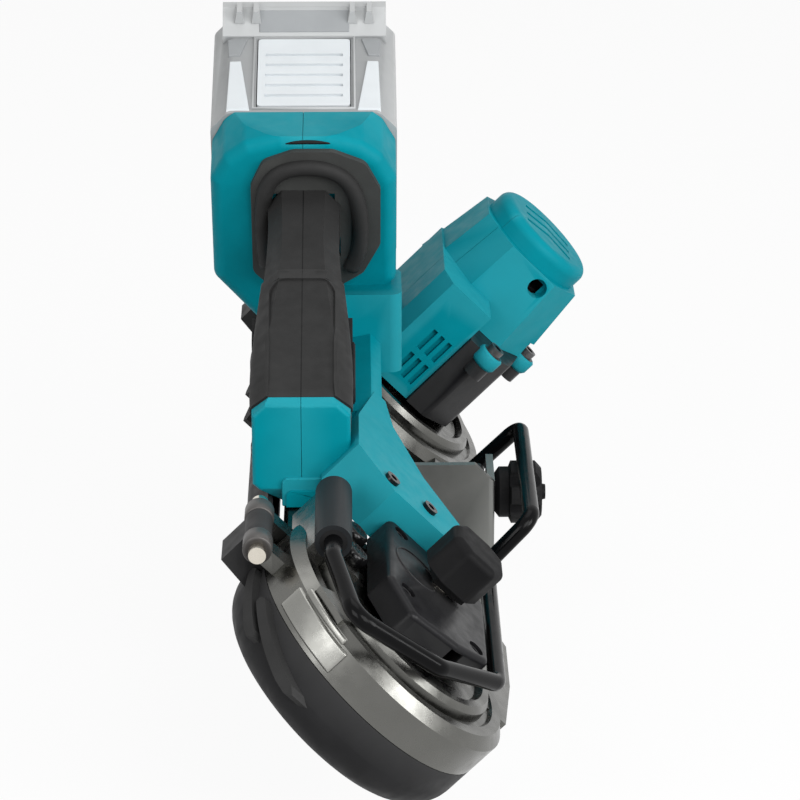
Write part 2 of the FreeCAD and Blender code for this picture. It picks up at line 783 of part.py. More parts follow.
def bearing(name, place, inner="dim.bearing_inner", outer="dim.bearing_outer", width="dim.bearing_width"):
    """Ball bearing with sunk shields."""
    obj = body(name, place)
    half = sketch(obj, name + "_section", "XZ", "0 * dim.bearing_width")
    polygon(half, [
        (inner, "0"),
        (inner + "+ 1.6", "0"),
        (inner + "+ 1.6", "0.5"),
        (outer + "- 1.6", "0.5"),
        (outer + "- 1.6", "0"),
        (outer, "0"),
        (outer, width),
        (outer + "- 1.6", width),
        (outer + "- 1.6", width + "- 0.5"),
        (inner + "+ 1.6", width + "- 0.5"),
        (inner + "+ 1.6", width),
        (inner, width),
    ])
    revolve(obj, half)
    return obj


def hex_bolt(name, place):
    """Hexagon head on a washer, standing down from its seat."""
    head = doc.addObject("Part::Prism", name + "_head")
    head.Polygon = 6
    bind(head, "Circumradius", "dim.bearing_inner + 1")
    bind(head, "Height", "2.6")
    head.Placement = place.multiply(FreeCAD.Placement(V(0, 0, -3.9), FreeCAD.Rotation()))
    washer = rod(name + "_washer", "dim.bearing_inner + 3.5", "1.3", place.multiply(
        FreeCAD.Placement(V(0, 0, -1.3), FreeCAD.Rotation())))
    return node(fuse(name, [head, washer]), name)


LEVEL = num("wheel_level")
HALF = num("wheel_thick") / 2
SEAT = LEVEL - HALF + 4
wheel("drive_wheel", REAR, "dim.bearing_inner")
tyre("drive_tyre", REAR)
shaft = fuse("drive_shaft", [
    rod("shaft_core", "dim.bearing_inner - 0.05", "dim.case_base + 21 - dim.wheel_level",
        at(SAW, 0, REAR, LEVEL - HALF + 4)),
    rod("shaft_collar", "dim.bearing_inner + 2", "0.9 - dim.wheel_level - dim.wheel_thick / 2",
        at(SAW, 0, REAR, LEVEL + HALF)),
])
node(shaft, "drive_shaft")
node(group("drive_bearings", [
    bearing("drive_bearing_low", at(SAW, 0, REAR, 1.2)),
    bearing("drive_bearing_high", at(SAW, 0, REAR, 32.6), outer="dim.bearing_outer - 1",
            width="dim.bearing_width - 1"),
]), "drive_bearings")
hex_bolt("drive_bolt", at(SAW, 0, REAR, SEAT))
wheel("idler_wheel", FRONT, "dim.bearing_outer")
tyre("idler_tyre", FRONT)
node(bearing("idler_bearing", at(SAW, 0, FRONT, SEAT + 0.4)), "idler_bearing")
axle = fuse("idler_axle", [
    rod("axle_core", "dim.bearing_inner - 0.05", "1 - dim.wheel_level + dim.wheel_thick / 2 - 4",
        at(SAW, 0, FRONT, SEAT)),
    rod("axle_collar", "dim.bearing_inner + 1.4",
        "dim.wheel_thick / 2 - 3.5 - dim.wheel_level - dim.bearing_width",
        at(SAW, 0, FRONT, SEAT + 0.5 + num("bearing_width"))),
])
node(axle, "idler_axle")
hex_bolt("idler_bolt", at(SAW, 0, FRONT, SEAT))

# Tension gear: carriage in the frame's slot, return spring, cam and lever, box over them.
carriage = fuse("idler_carriage", [
    box("carriage_block", "2 * dim.slide_half", "2 * dim.slide_half", "dim.ridge_height - 2",
        at(SAW, -num("slide_half"), FRONT - num("slide_half"), 1.0)),
    box("carriage_head", "2 * dim.slide_half",
        "dim.lever_along - dim.cam_offset - dim.cam_radius - 0.5 + dim.wheel_spacing / 2 + dim.slide_half",
        "dim.box_top - dim.box_wall - 1.6",
        at(SAW, -num("slide_half"), FRONT - num("slide_half"), 1.0)),
])
node(carriage, "idler_carriage")

tension_box = body("tension_box", SAW)
plan = sketch(tension_box, "box_plan", "XY", "dim.ridge_height + 0.1")
polygon(plan, [
    ("dim.box_left", "dim.box_rear"),
    ("dim.box_left", "dim.box_front + 16"),
    ("dim.box_left + 12", "dim.box_front"),
    ("dim.box_right - 16", "dim.box_front + 6"),
    ("dim.box_right", "dim.box_front + 16"),
    ("dim.box_right", "dim.box_rear"),
])
pad(tension_box, plan, "dim.box_top - dim.ridge_height - 0.1")
rounded(tension_box, "4", lambda e: along(e, AXIS_Z))
top = num("box_top")
rounded(tension_box, "2.5", lambda e: abs(e.BoundBox.ZMin - top) < 0.01 and abs(e.BoundBox.ZMax - top) < 0.01)
room = sketch(tension_box, "box_room", "XY", "dim.ridge_height + 0.1")
rect(room, "-dim.slide_half - 1", "dim.box_front + 5.5", "dim.lever_across + dim.cam_radius + 3.5",
     "dim.box_rear - 4")
pocket(tension_box, room, "dim.box_top - dim.ridge_height - 0.1 - dim.box_wall", back=True)
stem_hole = sketch(tension_box, "stem_hole", "XY", "dim.ridge_height + 0.1")
circle(stem_hole, "dim.lever_across", "dim.lever_along", "4.08")
pocket(tension_box, stem_hole, "dim.box_top", back=True)
screw_seats = sketch(tension_box, "screw_seats", "XY", "dim.box_top")
circle(screw_seats, "dim.box_left + 6.5", "dim.box_rear - 6.5", "3.4")
circle(screw_seats, "dim.box_left + 9", "dim.box_front + 16", "3.4")
circle(screw_seats, "dim.box_right - 7", "dim.box_front + 19", "3.4")
pocket(tension_box, screw_seats, "3.4")
node(tension_box, "tension_box")
SCREW_SPOTS = [
    (num("box_left") + 6.5, num("box_rear") - 6.5),
    (num("box_left") + 9, num("box_front") + 16),
    (num("box_right") - 7, num("box_front") + 19),
]


def cap_screw(name, place, radius=2.9, height=2.2, socket=1.5):
    """Round-headed screw with a hexagon socket, its head standing up from the placement."""
    head = rod(name + "_head", radius, height, place)
    key = doc.addObject("Part::Prism", name + "_key")
    key.Polygon = 6
    key.Circumradius = socket
    key.Height = height
    key.Placement = place.multiply(FreeCAD.Placement(V(0, 0, height * 0.4), FreeCAD.Rotation()))
    return cut(name, head, [key])


node(group("tension_box_screws", [
    cap_screw("box_screw_%d" % i, at(SAW, x, y, num("box_top") - 3.38))
    for i, (x, y) in enumerate(SCREW_SPOTS)
]), "tension_box_screws")

LEVER_AT = at(SAW, num("lever_across"), num("lever_along"), 0)
cam = fuse("tension_cam", [
    rod("cam_disc", "dim.cam_radius", "5.5", at(LEVER_AT, 0, -num("cam_offset"), num("ridge_height") + 2.5)),
    rod("cam_stem", "4", "dim.lever_level - dim.ridge_height - 1.2",
        at(LEVER_AT, 0, 0, num("ridge_height") + 1.2)),
])
node(cam, "tension_cam")
lever = body("tension_lever", LEVER_AT)
knob_plan = sketch(lever, "knob_plan", "XY", "dim.lever_level")
polygon(knob_plan, [
    ("-dim.lever_half", "-dim.lever_half * 0.55"),
    ("-dim.lever_half * 0.45", "-dim.lever_half"),
    ("dim.lever_half * 0.55", "-dim.lever_half"),
    ("dim.lever_half", "-dim.lever_half * 0.35"),
    ("dim.lever_half", "dim.lever_half * 0.60"),
    ("dim.lever_half * 0.40", "dim.lever_half"),
    ("-dim.lever_half * 0.60", "dim.lever_half"),
    ("-dim.lever_half", "dim.lever_half * 0.40"),
])
pad(lever, knob_plan, "dim.lever_height")
rounded(lever, "3.2", lambda e: along(e, AXIS_Z))
peak = num("lever_level") + num("lever_height")
rounded(lever, "3", lambda e: abs(e.BoundBox.ZMin - peak) < 0.01 and abs(e.BoundBox.ZMax - peak) < 0.01)
tab_plan = sketch(lever, "tab_plan", "XY", "dim.box_top + 0.8")
polygon(tab_plan, [
    ("-5.5", "-6"),
    ("5.5", "-6"),
    ("dim.lever_half - 3", "-dim.lever_half * 0.3"),
    ("7", "6"),
    ("-7", "6"),
])
pad(lever, tab_plan, "dim.lever_level - dim.box_top")
stem_seat = sketch(lever, "stem_seat", "XY", "dim.box_top + 0.8")
circle(stem_seat, "0", "0", "4")
pocket(lever, stem_seat, "dim.lever_level - dim.box_top - 0.8", back=True)
node(lever, "tension_lever")


def coil(name, place, radius, wire, length, turns):
    """Coil spring as one unbroken tube along the placement's z."""
    pitch = length / turns
    spiral = Part.makeHelix(pitch, length, radius)
    ring = Part.Wire([Part.makeCircle(wire, V(radius, 0, 0), V(0, 1, pitch / (2 * math.pi * radius)))])
    tube = Part.Wire(spiral.Edges).makePipeShell([ring], True, True)
    obj = doc.addObject("Part::Feature", name)
    obj.Shape = tube
    obj.Placement = place
    return node(obj, name)


SPRING_Y = FRONT - num("slide_half") - 0.3
SPRING_LENGTH = SPRING_Y - (num("box_front") + 5.8) - 2.4
coil("tension_spring", at(SAW, 0, SPRING_Y - 1.2, num("ridge_height") + 5, turn(AXIS_X, 90)),
     3.2, 0.6, SPRING_LENGTH, 5)

# Blade: loop over both wheels, turned upright between the guides, with teeth on its upright run.
GAP = num("blade_gap")
THICK = num("blade_thick")
WIDTH = num("blade_width")
IN_R = (num("frame_radius") - num("wheel_room")) + GAP
OUT_R = IN_R + THICK
MID = (IN_R + OUT_R) / 2
RUN_OUT = num("slide_travel") + 3
UPRIGHT_FROM = num("front_guide") - num("guide_depth") / 2 - 0.5
UPRIGHT_TO = num("rear_guide") + num("guide_depth") / 2 + 0.5


def half_ring(middle, sign):
    """Blade round half a wheel."""
    disc = Part.makeCylinder(OUT_R, WIDTH, V(0, middle, LEVEL - WIDTH / 2))
    hole = Part.makeCylinder(IN_R, WIDTH, V(0, middle, LEVEL - WIDTH / 2))
    corner = V(-OUT_R - 1, middle if sign > 0 else middle - OUT_R - 1, LEVEL - WIDTH)
    side = Part.makeBox(2 * OUT_R + 2, OUT_R + 1, 2 * WIDTH, corner)
    return disc.cut(hole).common(side)


def strip_wire(y, angle):
    """Cross-section of the cutting run, turned by angle about the run."""
    tilt = turn(AXIS_Y, -angle)
    corners = []
    for across, up in ((-1, -1), (1, -1), (1, 1), (-1, 1)):
        point = tilt.multVec(V(across * THICK / 2, 0, up * WIDTH / 2))
        corners.append(point + V(MID, y, LEVEL))
    return Part.makePolygon(corners + corners[:1])


def twist(start, stop, first, last, steps=6):
    """Run of blade that turns evenly from one angle to another."""
    wires = []
    for i in range(steps + 1):
        share = i / steps
        wires.append(strip_wire(start + share * (stop - start), first + share * (last - first)))
    return Part.makeLoft(wires, True, True)


def toothed_run(start, stop):
    """Upright run with raked teeth on its lower edge."""
    count = int((stop - start) / num("tooth_pitch"))
    pitch = (stop - start) / count
    points = [V(0, start, WIDTH / 2), V(0, start, -WIDTH / 2)]
    for i in range(count):
        left = start + i * pitch
        points.append(V(0, left + 0.25 * pitch, -WIDTH / 2 + num("tooth_depth")))
        points.append(V(0, left + 0.55 * pitch, -WIDTH / 2 + num("tooth_depth")))
        points.append(V(0, left + pitch, -WIDTH / 2))
    points.append(V(0, stop, WIDTH / 2))
    face = Part.Face(Part.makePolygon(points + points[:1]))
    run = face.extrude(V(THICK, 0, 0))
    run.translate(V(-THICK / 2, 0, 0))
    run.rotate(V(0, 0, 0), AXIS_Y, -num("wheel_tilt"))
    run.translate(V(MID, 0, LEVEL))
    return run


loop = half_ring(FRONT, -1).multiFuse([
    half_ring(REAR, 1),
    Part.makeBox(THICK, REAR - FRONT, WIDTH, V(-OUT_R, FRONT, LEVEL - WIDTH / 2)),
    Part.makeBox(THICK, RUN_OUT, WIDTH, V(IN_R, FRONT, LEVEL - WIDTH / 2)),
    twist(FRONT + RUN_OUT, UPRIGHT_FROM, 0, num("wheel_tilt")),
    toothed_run(UPRIGHT_FROM, UPRIGHT_TO),
    twist(UPRIGHT_TO, REAR, num("wheel_tilt"), 0),
])
blade = doc.addObject("Part::Feature", "blade")
blade.Shape = loop
blade.Placement = SAW
node(blade, "blade")

# Blade guides: a holder on each arm with two side rollers and a back roller.
R = num("roller_radius")
REACH = THICK / 2 + 0.15 + R
BACK = WIDTH / 2 + 0.2 + R - 0.7


def guide(side, y):
    """Holder and rollers round the blade at one arm."""
    spot = FreeCAD.Placement(SAW.multVec(V(MID, y, LEVEL)), FreeCAD.Rotation())
    deep = num("guide_depth")
    half = num("guide_half")
    block = box(side + "_guide_block", "2 * dim.guide_half", "dim.guide_depth", "17 + dim.blade_width / 2",
                at(spot, -half, -deep / 2, -WIDTH / 2))
    above = box(side + "_guide_above", 90, 40, 60, at(SAW, MID - 45, y - 20, -0.02))
    tools = [above, box(side + "_guide_slot", 2, 40, WIDTH + 2.6, at(spot, -1, -20, -WIDTH / 2 - 1))]
    for sign in (-1, 1):
        tools.append(rod("%s_well_%d" % (side, sign), "dim.roller_radius + 0.5", 12.4,
                         at(spot, sign * REACH, 0, -8)))
        tools.append(rod("%s_bore_%d" % (side, sign), 1.55, 6, at(spot, sign * REACH, 0, 2)))
    tools.append(box(side + "_back_well", 6, "2 * dim.roller_radius + 0.6", 8.4,
                     at(spot, -3, -R - 0.3, BACK - R + 0.2)))
    tools.append(rod(side + "_back_bore", 1.25, 13, at(spot, -6.5, 0, BACK, TO_X)))
    node(cut(side + "_guide", block, tools), side + "_guide")
    for sign, word in ((-1, "left"), (1, "right")):
        name = "%s_roller_%s" % (side, word)
        node(fuse(name, [
            rod(name + "_ring", "dim.roller_radius", 8.6, at(spot, sign * REACH, 0, -4.6)),
            rod(name + "_pin", 1.5, 3.4, at(spot, sign * REACH, 0, 4)),
        ]), name)
    name = side + "_roller_back"
    node(fuse(name, [
        rod(name + "_ring", "dim.roller_radius - 0.7", 5, at(spot, -2.5, 0, BACK, TO_X)),
        rod(name + "_pin", 1.2, 11, at(spot, -5.5, 0, BACK, TO_X)),
    ]), name)


guide("front", num("front_guide"))
guide("rear", num("rear_guide"))

# Gear pair: stub involute teeth, the pinion beside the gear in the motor's direction.


def tooth_flank(teeth, module, radius):
    """Half of a tooth's angle at a radius, thinned for play."""
    pitch_r = module * teeth / 2
    base_r = pitch_r * math.cos(math.radians(20))
    play = 0.12 / pitch_r
    at_pitch = math.pi / (2 * teeth) - play
    if radius <= base_r:
        radius = base_r
    involute = math.sqrt((radius / base_r) ** 2 - 1)
    involute -= math.atan(involute)
    reference = math.tan(math.radians(20)) - math.radians(20)
    return at_pitch + reference - involute


def gear_shape(teeth, module, phase, low, high, bore):
    """Spur gear solid about the z axis."""
    pitch_r = module * teeth / 2
    root = pitch_r - 1.1 * module
    tip = pitch_r + 0.8 * module
    base_r = pitch_r * math.cos(math.radians(20))
    radii = [root] + [max(root + 0.2, base_r) + k * (tip - max(root + 0.2, base_r)) / 4 for k in range(5)]
    points = []
    for i in range(teeth):
        middle = phase + 2 * math.pi * i / teeth
        for radius in radii:
            angle = middle - tooth_flank(teeth, module, radius)
            points.append(V(radius * math.cos(angle), radius * math.sin(angle), low))
        for radius in reversed(radii):
            angle = middle + tooth_flank(teeth, module, radius)
            points.append(V(radius * math.cos(angle), radius * math.sin(angle), low))
    blank = Part.Face(Part.makePolygon(points + points[:1])).extrude(V(0, 0, high - low))
    if bore > 0:
        blank = blank.cut(Part.makeCylinder(bore, high - low, V(0, 0, low)))
    return blank


MODULE = num("gear_module")
WHEEL_TEETH = int(num("gear_teeth"))
PINION_TEETH = int(num("pinion_teeth"))
LINE = math.pi / 2 - SWING
gear = doc.addObject("Part::Feature", "drive_gear")
gear.Shape = gear_shape(WHEEL_TEETH, MODULE, LINE, 24.0, 32.0, num("bearing_inner") - 0.05)
gear.Placement = at(SAW, 0, REAR, 0)
node(gear, "drive_gear")
MOTOR_AT = at(SAW, MOTOR.x, MOTOR.y, 0)
pinion = doc.addObject("Part::Feature", "motor_pinion")
pinion.Shape = gear_shape(
    PINION_TEETH, MODULE, LINE + math.pi + math.pi / PINION_TEETH, 23.5, 32.5, 3.5)
pinion.Placement = MOTOR_AT
node(pinion, "motor_pinion")

# Motor: rotor on its shaft, fan, stator, two bearings.
top = num("motor_top")
rotor = fuse("rotor", [
    rod("rotor_shaft", 3.5, "dim.motor_top - 33", at(MOTOR_AT, 0, 0, 23.5)),
    rod("rotor_core", 12.4, 20, at(MOTOR_AT, 0, 0, 65.5)),
])
node(rotor, "rotor")
fan = body("fan", MOTOR_AT)
fan_disc = sketch(fan, "fan_disc", "XY", "dim.motor_top - 20.5")
circle(fan_disc, "0", "0", "20")
pad(fan, fan_disc, "1.4")
for step in range(7):
    blade_plan = sketch(fan, "fan_blade_%d" % step, "XY", "dim.motor_top - 19.5")
    a = 360.0 / 7 * step
    polygon(blade_plan, [
        ("8 * cos(%.3f)" % a, "8 * sin(%.3f) + 0 * dim.motor_top" % a),
        ("19 * cos(%.3f)" % (a + 16), "19 * sin(%.3f)" % (a + 16)),
        ("19 * cos(%.3f)" % (a + 20), "19 * sin(%.3f)" % (a + 20)),
        ("8 * cos(%.3f)" % (a + 9), "8 * sin(%.3f)" % (a + 9)),
    ])
    pad(fan, blade_plan, "4.5")
fan_bore = sketch(fan, "fan_bore", "XY", "dim.motor_top - 22")
circle(fan_bore, "0", "0", "3.5")
pocket(fan, fan_bore, "12", back=True)
node(fan, "fan")
stator = body("stator", MOTOR_AT)
ring = sketch(stator, "stator_ring", "XY", "64 + 0 * dim.motor_top")
circle(ring, "0", "0", "23.6")
pad(stator, ring, "21")
eye = sketch(stator, "stator_eye", "XY", "63 + 0 * dim.motor_top")
circle(eye, "0", "0", "12.9")
pocket(stator, eye, "30", back=True)
for step in range(6):
    a = 60 * step + 30
    slot = sketch(stator, "stator_slot_%d" % step, "XY", "63 + 0 * dim.motor_top")
    circle(slot, "16.5 * cos(%d)" % a, "16.5 * sin(%d)" % a, "2.2")
    pocket(stator, slot, "30", back=True)
node(stator, "stator")
node(group("motor_bearings", [
    bearing("motor_bearing_low", at(MOTOR_AT, 0, 0, 50), "3.55", "8", "6"),
    bearing("motor_bearing_high", at(MOTOR_AT, 0, 0, top - 14), "3.55", "8", "5"),
]), "motor_bearings")

# Gear case.
case = body("gear_case", SAW)
case_plan = sketch(case, "case_plan", "XY", "dim.case_base")
polygon(case_plan, [
    ("2", "dim.wheel_spacing / 2 - dim.case_radius"),
    ("12", "dim.wheel_spacing / 2 - dim.case_radius"),
    ("26", "dim.wheel_spacing / 2 - dim.case_radius + 12"),
    ("34", "dim.wheel_spacing / 2 + 14"),
    ("33", "dim.wheel_spacing / 2 + dim.motor_offset + 14"),
    ("20", "dim.wheel_spacing / 2 + dim.motor_offset + 28"),
    ("-13", "dim.wheel_spacing / 2 + dim.motor_offset + 28"),
    ("-dim.gear_room - 2", "dim.wheel_spacing / 2 + dim.motor_offset + 14"),
    ("-dim.gear_room - 2", "dim.wheel_spacing / 2 - dim.gear_room - 2.5"),
    ("2", "dim.wheel_spacing / 2 - dim.gear_room - 2.5"),
])
pad(case, case_plan, "dim.case_top - dim.case_base")
rounded(case, "5", lambda e: along(e, AXIS_Z) and e.CenterOfMass.x > 8)
for step, (x, y) in enumerate((("13", "- dim.case_radius + 1"), ("35", "+ 12"))):
    boss = sketch(case, "case_boss_%d" % step, "XY", "dim.case_top - 11")
    circle(boss, x, "dim.wheel_spacing / 2" + y, "4.6")
    pad(case, boss, "13")
gear_room = sketch(case, "gear_room", "XY", "dim.case_base")
circle(gear_room, "0", "dim.wheel_spacing / 2", "dim.gear_room")
pocket(case, gear_room, "11.2", back=True)
pinion_room = sketch(case, "pinion_room", "XY", "dim.case_base")
circle(pinion_room, "dim.motor_offset * sin(dim.motor_swing)",
       "dim.wheel_spacing / 2 + dim.motor_offset * cos(dim.motor_swing)", "9.4")
pocket(case, pinion_room, "12.6", back=True)
upper_seat = sketch(case, "upper_seat", "XY", "dim.case_base")
circle(upper_seat, "0", "dim.wheel_spacing / 2", "dim.bearing_outer - 1")
pocket(case, upper_seat, "22", back=True)
shaft_way = sketch(case, "shaft_way", "XY", "dim.case_base")
circle(shaft_way, "dim.motor_offset * sin(dim.motor_swing)",
       "dim.wheel_spacing / 2 + dim.motor_offset * cos(dim.motor_swing)", "4.2")
pocket(case, shaft_way, "dim.case_top", back=True)
motor_seat = sketch(case, "motor_seat", "XY", "50 + 0 * dim.case_top")
circle(motor_seat, "dim.motor_offset * sin(dim.motor_swing)",
       "dim.wheel_spacing / 2 + dim.motor_offset * cos(dim.motor_swing)", "8")
pocket(case, motor_seat, "dim.case_top - 50 + 1", back=True)
node(case, "gear_case")
node(group("gear_case_screws", [
    cap_screw("case_screw_0", at(SAW, 13, REAR - num("case_radius") + 1, num("case_top") + 2), 3.4, 3.0, 1.9),
    cap_screw("case_screw_1", at(SAW, 35, REAR + 12, num("case_top") + 2), 3.4, 3.0, 1.9),
]), "gear_case_screws")

# Motor housing: eight-sided skin with a side skirt, split along its axis.
shell = body("motor_shell", MOTOR_AT)


def octagon(owner, name, level, half):
    """Eight-sided section at a height."""
    sk = sketch(owner, name, "XY", level)
    polygon(sk, [
        (half, "-%s * 0.45" % half),
        (half, "%s * 0.45" % half),
        ("%s * 0.48" % half, half),
        ("-%s * 0.48" % half, half),
        ("-" + half, "%s * 0.45" % half),
        ("-" + half, "-%s * 0.45" % half),
        ("-%s * 0.48" % half, "-" + half),
        ("%s * 0.48" % half, "-" + half),
    ])
    return sk


loft(shell, [
    octagon(shell, "shell_low", "dim.case_top + 0.1", "dim.motor_base_half"),
    octagon(shell, "shell_high", "dim.motor_top - dim.motor_cap", "dim.motor_end_half"),
], ruled=True)
shell_height = num("motor_top") - num("motor_cap") - num("case_top")
rounded(shell, "7", lambda e: abs(e.BoundBox.ZLength - shell_height) < 0.6)
end_plan = sketch(shell, "end_plan", "XY", "dim.motor_top - dim.motor_cap - 0.5")
circle(end_plan, "0", "0", "dim.motor_end_half - 1.5")
pad(shell, end_plan, "dim.motor_cap + 0.5")
rim = num("motor_top")
rounded(shell, "4.5", lambda e: is_ring(e, num("motor_end_half") - 1.5, rim))
SKIRT_FRONT = "-dim.motor_offset * cos(dim.motor_swing) - dim.case_radius + 2"
SKIRT_BACK = "-dim.motor_offset * cos(dim.motor_swing) - dim.gear_room - 2.8"
SKIRT_END = "1.7 - dim.motor_offset * sin(dim.motor_swing)"
SKIRT_SIDE = "-dim.gear_room - 2.3 - dim.motor_offset * sin(dim.motor_swing)"
skirt = sketch(shell, "skirt_plan", "XY", "dim.case_base")
polygon(skirt, [
    ("-dim.motor_base_half", SKIRT_FRONT + "+ 8"),
    ("-dim.motor_base_half + 5", SKIRT_FRONT),
    (SKIRT_END, SKIRT_FRONT),
    (SKIRT_END, SKIRT_BACK),
    (SKIRT_SIDE, SKIRT_BACK),
    (SKIRT_SIDE, "16"),
    ("-dim.motor_base_half + 3", "16"),
    ("-dim.motor_base_half", "12"),
])
pad(shell, skirt, "dim.case_top - dim.case_base + 12")
roof = sketch(shell, "skirt_roof", "XY", "dim.case_top + 0.1")
polygon(roof, [
    ("-dim.motor_base_half", SKIRT_FRONT + "+ 8"),
    ("-dim.motor_base_half + 5", SKIRT_FRONT),
    (SKIRT_END, SKIRT_FRONT),
    (SKIRT_END, "-10"),
    ("-dim.motor_base_half", "-10"),
])
pad(shell, roof, "11.9")
motor_room = sketch(shell, "motor_room", "XY", "dim.case_top + 0.1")
circle(motor_room, "0", "0", "dim.motor_end_half - 2.6")
pocket(shell, motor_room, "dim.motor_top - dim.case_top - 14.2", back=True)
end_seat = sketch(shell, "end_seat", "XY", "dim.case_top + 0.1")
circle(end_seat, "0", "0", "8")
pocket(shell, end_seat, "dim.motor_top - dim.case_top - 9", back=True)
for step in range(6):
    vent = sketch(shell, "skirt_vent_%d" % step, "XZ", SKIRT_FRONT + "- 1")
    right = SKIRT_END + "- %.1f" % (3 + 4.2 * (step % 3))
    low = 27 + 14 * (step // 3)
    rect(vent, right + "- 2.2", "%d + 0 * dim.case_base" % low, right, "%d" % (low + 11))
    pocket(shell, vent, "3.4")
for step in range(3):
    chevron = sketch(shell, "end_vent_%d" % step, "XY", "dim.motor_top + 1")
    y = 5 - 9 * step
    polygon(chevron, [
        ("-13", "%d + 0 * dim.motor_top" % y),
        ("0", "%d" % (y + 5)),
        ("13", "%d" % y),
        ("13", "%d" % (y + 3)),
        ("0", "%d" % (y + 8)),
        ("-13", "%d" % (y + 3)),
    ])
    pocket(shell, chevron, "3.5")
boss_way = sketch(shell, "boss_way", "XY", "dim.case_top - 2")
circle(boss_way, "35 - dim.motor_offset * sin(dim.motor_swing)",
       "12 - dim.motor_offset * cos(dim.motor_swing)", "5")
pocket(shell, boss_way, "10", back=True)
key_hole = sketch(shell, "key_hole", "XZ", "-dim.motor_end_half - 4")
circle(key_hole, "8", "dim.motor_top - 16", "4.2")
pocket(shell, key_hole, "9")
SEAM = turn(AXIS_Z, 270 - num("seam_turn"))
for word, sign in (("front", 1), ("rear", -1)):
    low_y = num("seam_gap") / 2 if sign > 0 else -120 - num("seam_gap") / 2
    half_space = box("motor_half_" + word, 240, 120, 140, at(MOTOR_AT, 0, 0, 0, SEAM).multiply(
        FreeCAD.Placement(V(-120, low_y, 0), FreeCAD.Rotation())))
    node(common("motor_housing_" + word, shell, half_space), "motor_housing_" + word)

# Hook: one bent rod that turns in the barrel, with a bush at the barrel's mouth.


def rounded_path(points, radius):
    """Wire through points with its corners rounded."""
    edges = []
    start = points[0]
    for i in range(1, len(points) - 1):
        corner = points[i]
        back = (points[i - 1] - corner).normalize()
        ahead = (points[i + 1] - corner).normalize()
        half = math.acos(max(-1.0, min(1.0, back.dot(ahead)))) / 2
        run = radius / math.tan(half)
        inner = (back + ahead).normalize() * (radius / math.sin(half))
        enter = corner + back * run
        leave = corner + ahead * run
        middle = corner + inner - (inner * (radius / inner.Length))
        edges.append(Part.makeLine(start, enter))
        edges.append(Part.Arc(enter, middle, leave).toShape())
        start = leave
    edges.append(Part.makeLine(start, points[-1]))
    return Part.Wire(edges)


ACROSS = num("barrel_across")
RISE = num("barrel_level")
MOUTH = num("barrel_rear") - num("barrel_length")
RIGHT = num("hook_right")
hook_path = rounded_path([
    V(ACROSS, num("barrel_rear") - 5, RISE),
    V(ACROSS, MOUTH - 12, RISE),
    V(ACROSS + 10, num("hook_front") - 3, RISE + 1),
    V(RIGHT - 31, num("hook_front") + 8, num("hook_level")),
    V(RIGHT, num("hook_front") + 40, num("hook_level")),
    V(RIGHT, num("hook_step"), num("hook_level")),
    V(RIGHT, num("hook_step") + 4, num("hook_high")),
    V(RIGHT, num("hook_rear"), num("hook_high")),
    V(RIGHT, num("hook_rear") + 1, num("ridge_height") + 1),
], 7.0)
profile = Part.Wire([Part.makeCircle(num("rod_radius"), V(ACROSS, num("barrel_rear") - 5, RISE), AXIS_Y)])
hook = doc.addObject("Part::Feature", "hook")
hook.Shape = hook_path.makePipeShell([profile], True, False)
hook.Placement = SAW
node(hook, "hook")
bush = cut("hook_bush", rod("bush_outer", "dim.rod_radius + 1.7", 4.9, at(SAW, ACROSS, MOUTH, RISE, TO_Y)), [
    rod("bush_inner", "dim.rod_radius + 0.06", 20, at(SAW, ACROSS, MOUTH - 5, RISE, TO_Y)),
])
node(bush, "hook_bush")
node(group("barrel_bolts", [
    cap_screw("barrel_bolt_%d" % i, at(SAW, ACROSS + 13, y, num("ridge_height") + 1.02), 3.4, 3.2, 1.9)
    for i, y in enumerate((num("barrel_rear") - 14, num("barrel_rear") - 33))
]), "barrel_bolts")

# Stop plate: sheet with a slot for the blade and a bent flange, clamped by a knob.
plate = body("stop_plate", WORLD)
face = sketch(plate, "plate_face", "XZ", "dim.stop_front + dim.stop_thick")
polygon(face, [
    ("dim.stop_left", "dim.stop_high"),
    ("dim.stop_left", "-28"),
    ("dim.stop_left + 14", "dim.stop_low + 6"),
    ("dim.stop_left + 20", "dim.stop_low"),
    ("dim.stop_right - 6", "dim.stop_low"),
    ("dim.stop_right", "dim.stop_low + 6"),
    ("dim.stop_right", "dim.stop_high - 8"),
    ("dim.stop_right - 8", "dim.stop_high"),
])
pad(plate, face, "dim.stop_thick")
flange = sketch(plate, "plate_flange", "YZ", "dim.stop_right - dim.stop_thick")
polygon(flange, [
    ("dim.stop_front", "-18"),
    ("dim.stop_front + 26", "-18"),
    ("dim.stop_front + 26", "dim.stop_high - 6"),
    ("dim.stop_front", "dim.stop_high - 8"),
])
pad(plate, flange, "dim.stop_thick")
AT_BLADE = SAW.multVec(V(MID, 0, LEVEL)) - ORIGIN
kerf = sketch(plate, "blade_slot", "XZ", "dim.stop_front - 1")
rect(kerf, "%.4f" % (AT_BLADE.x - 2.5), "dim.stop_low - 1", "%.4f" % (AT_BLADE.x + 2.5),
     "%.4f" % (AT_BLADE.z + WIDTH / 2 + 8))
pocket(plate, kerf, "dim.stop_thick + 2")
slot = sketch(plate, "knob_slot", "YZ", "dim.stop_right - dim.stop_thick - 1")
rect(slot, "dim.knob_along - 3.3", "dim.knob_up - 3.3", "dim.knob_along + 3.3",
     "dim.knob_up + 3.3 + dim.stop_travel")
pocket(plate, slot, "dim.stop_thick + 2", back=True)
rounded(plate, "2.4", lambda e: along(e, AXIS_Z) and abs(e.CenterOfMass.x - num("stop_right")) < 0.01
        and abs(e.CenterOfMass.y - num("stop_front")) < 0.01)
node(plate, "stop_plate")
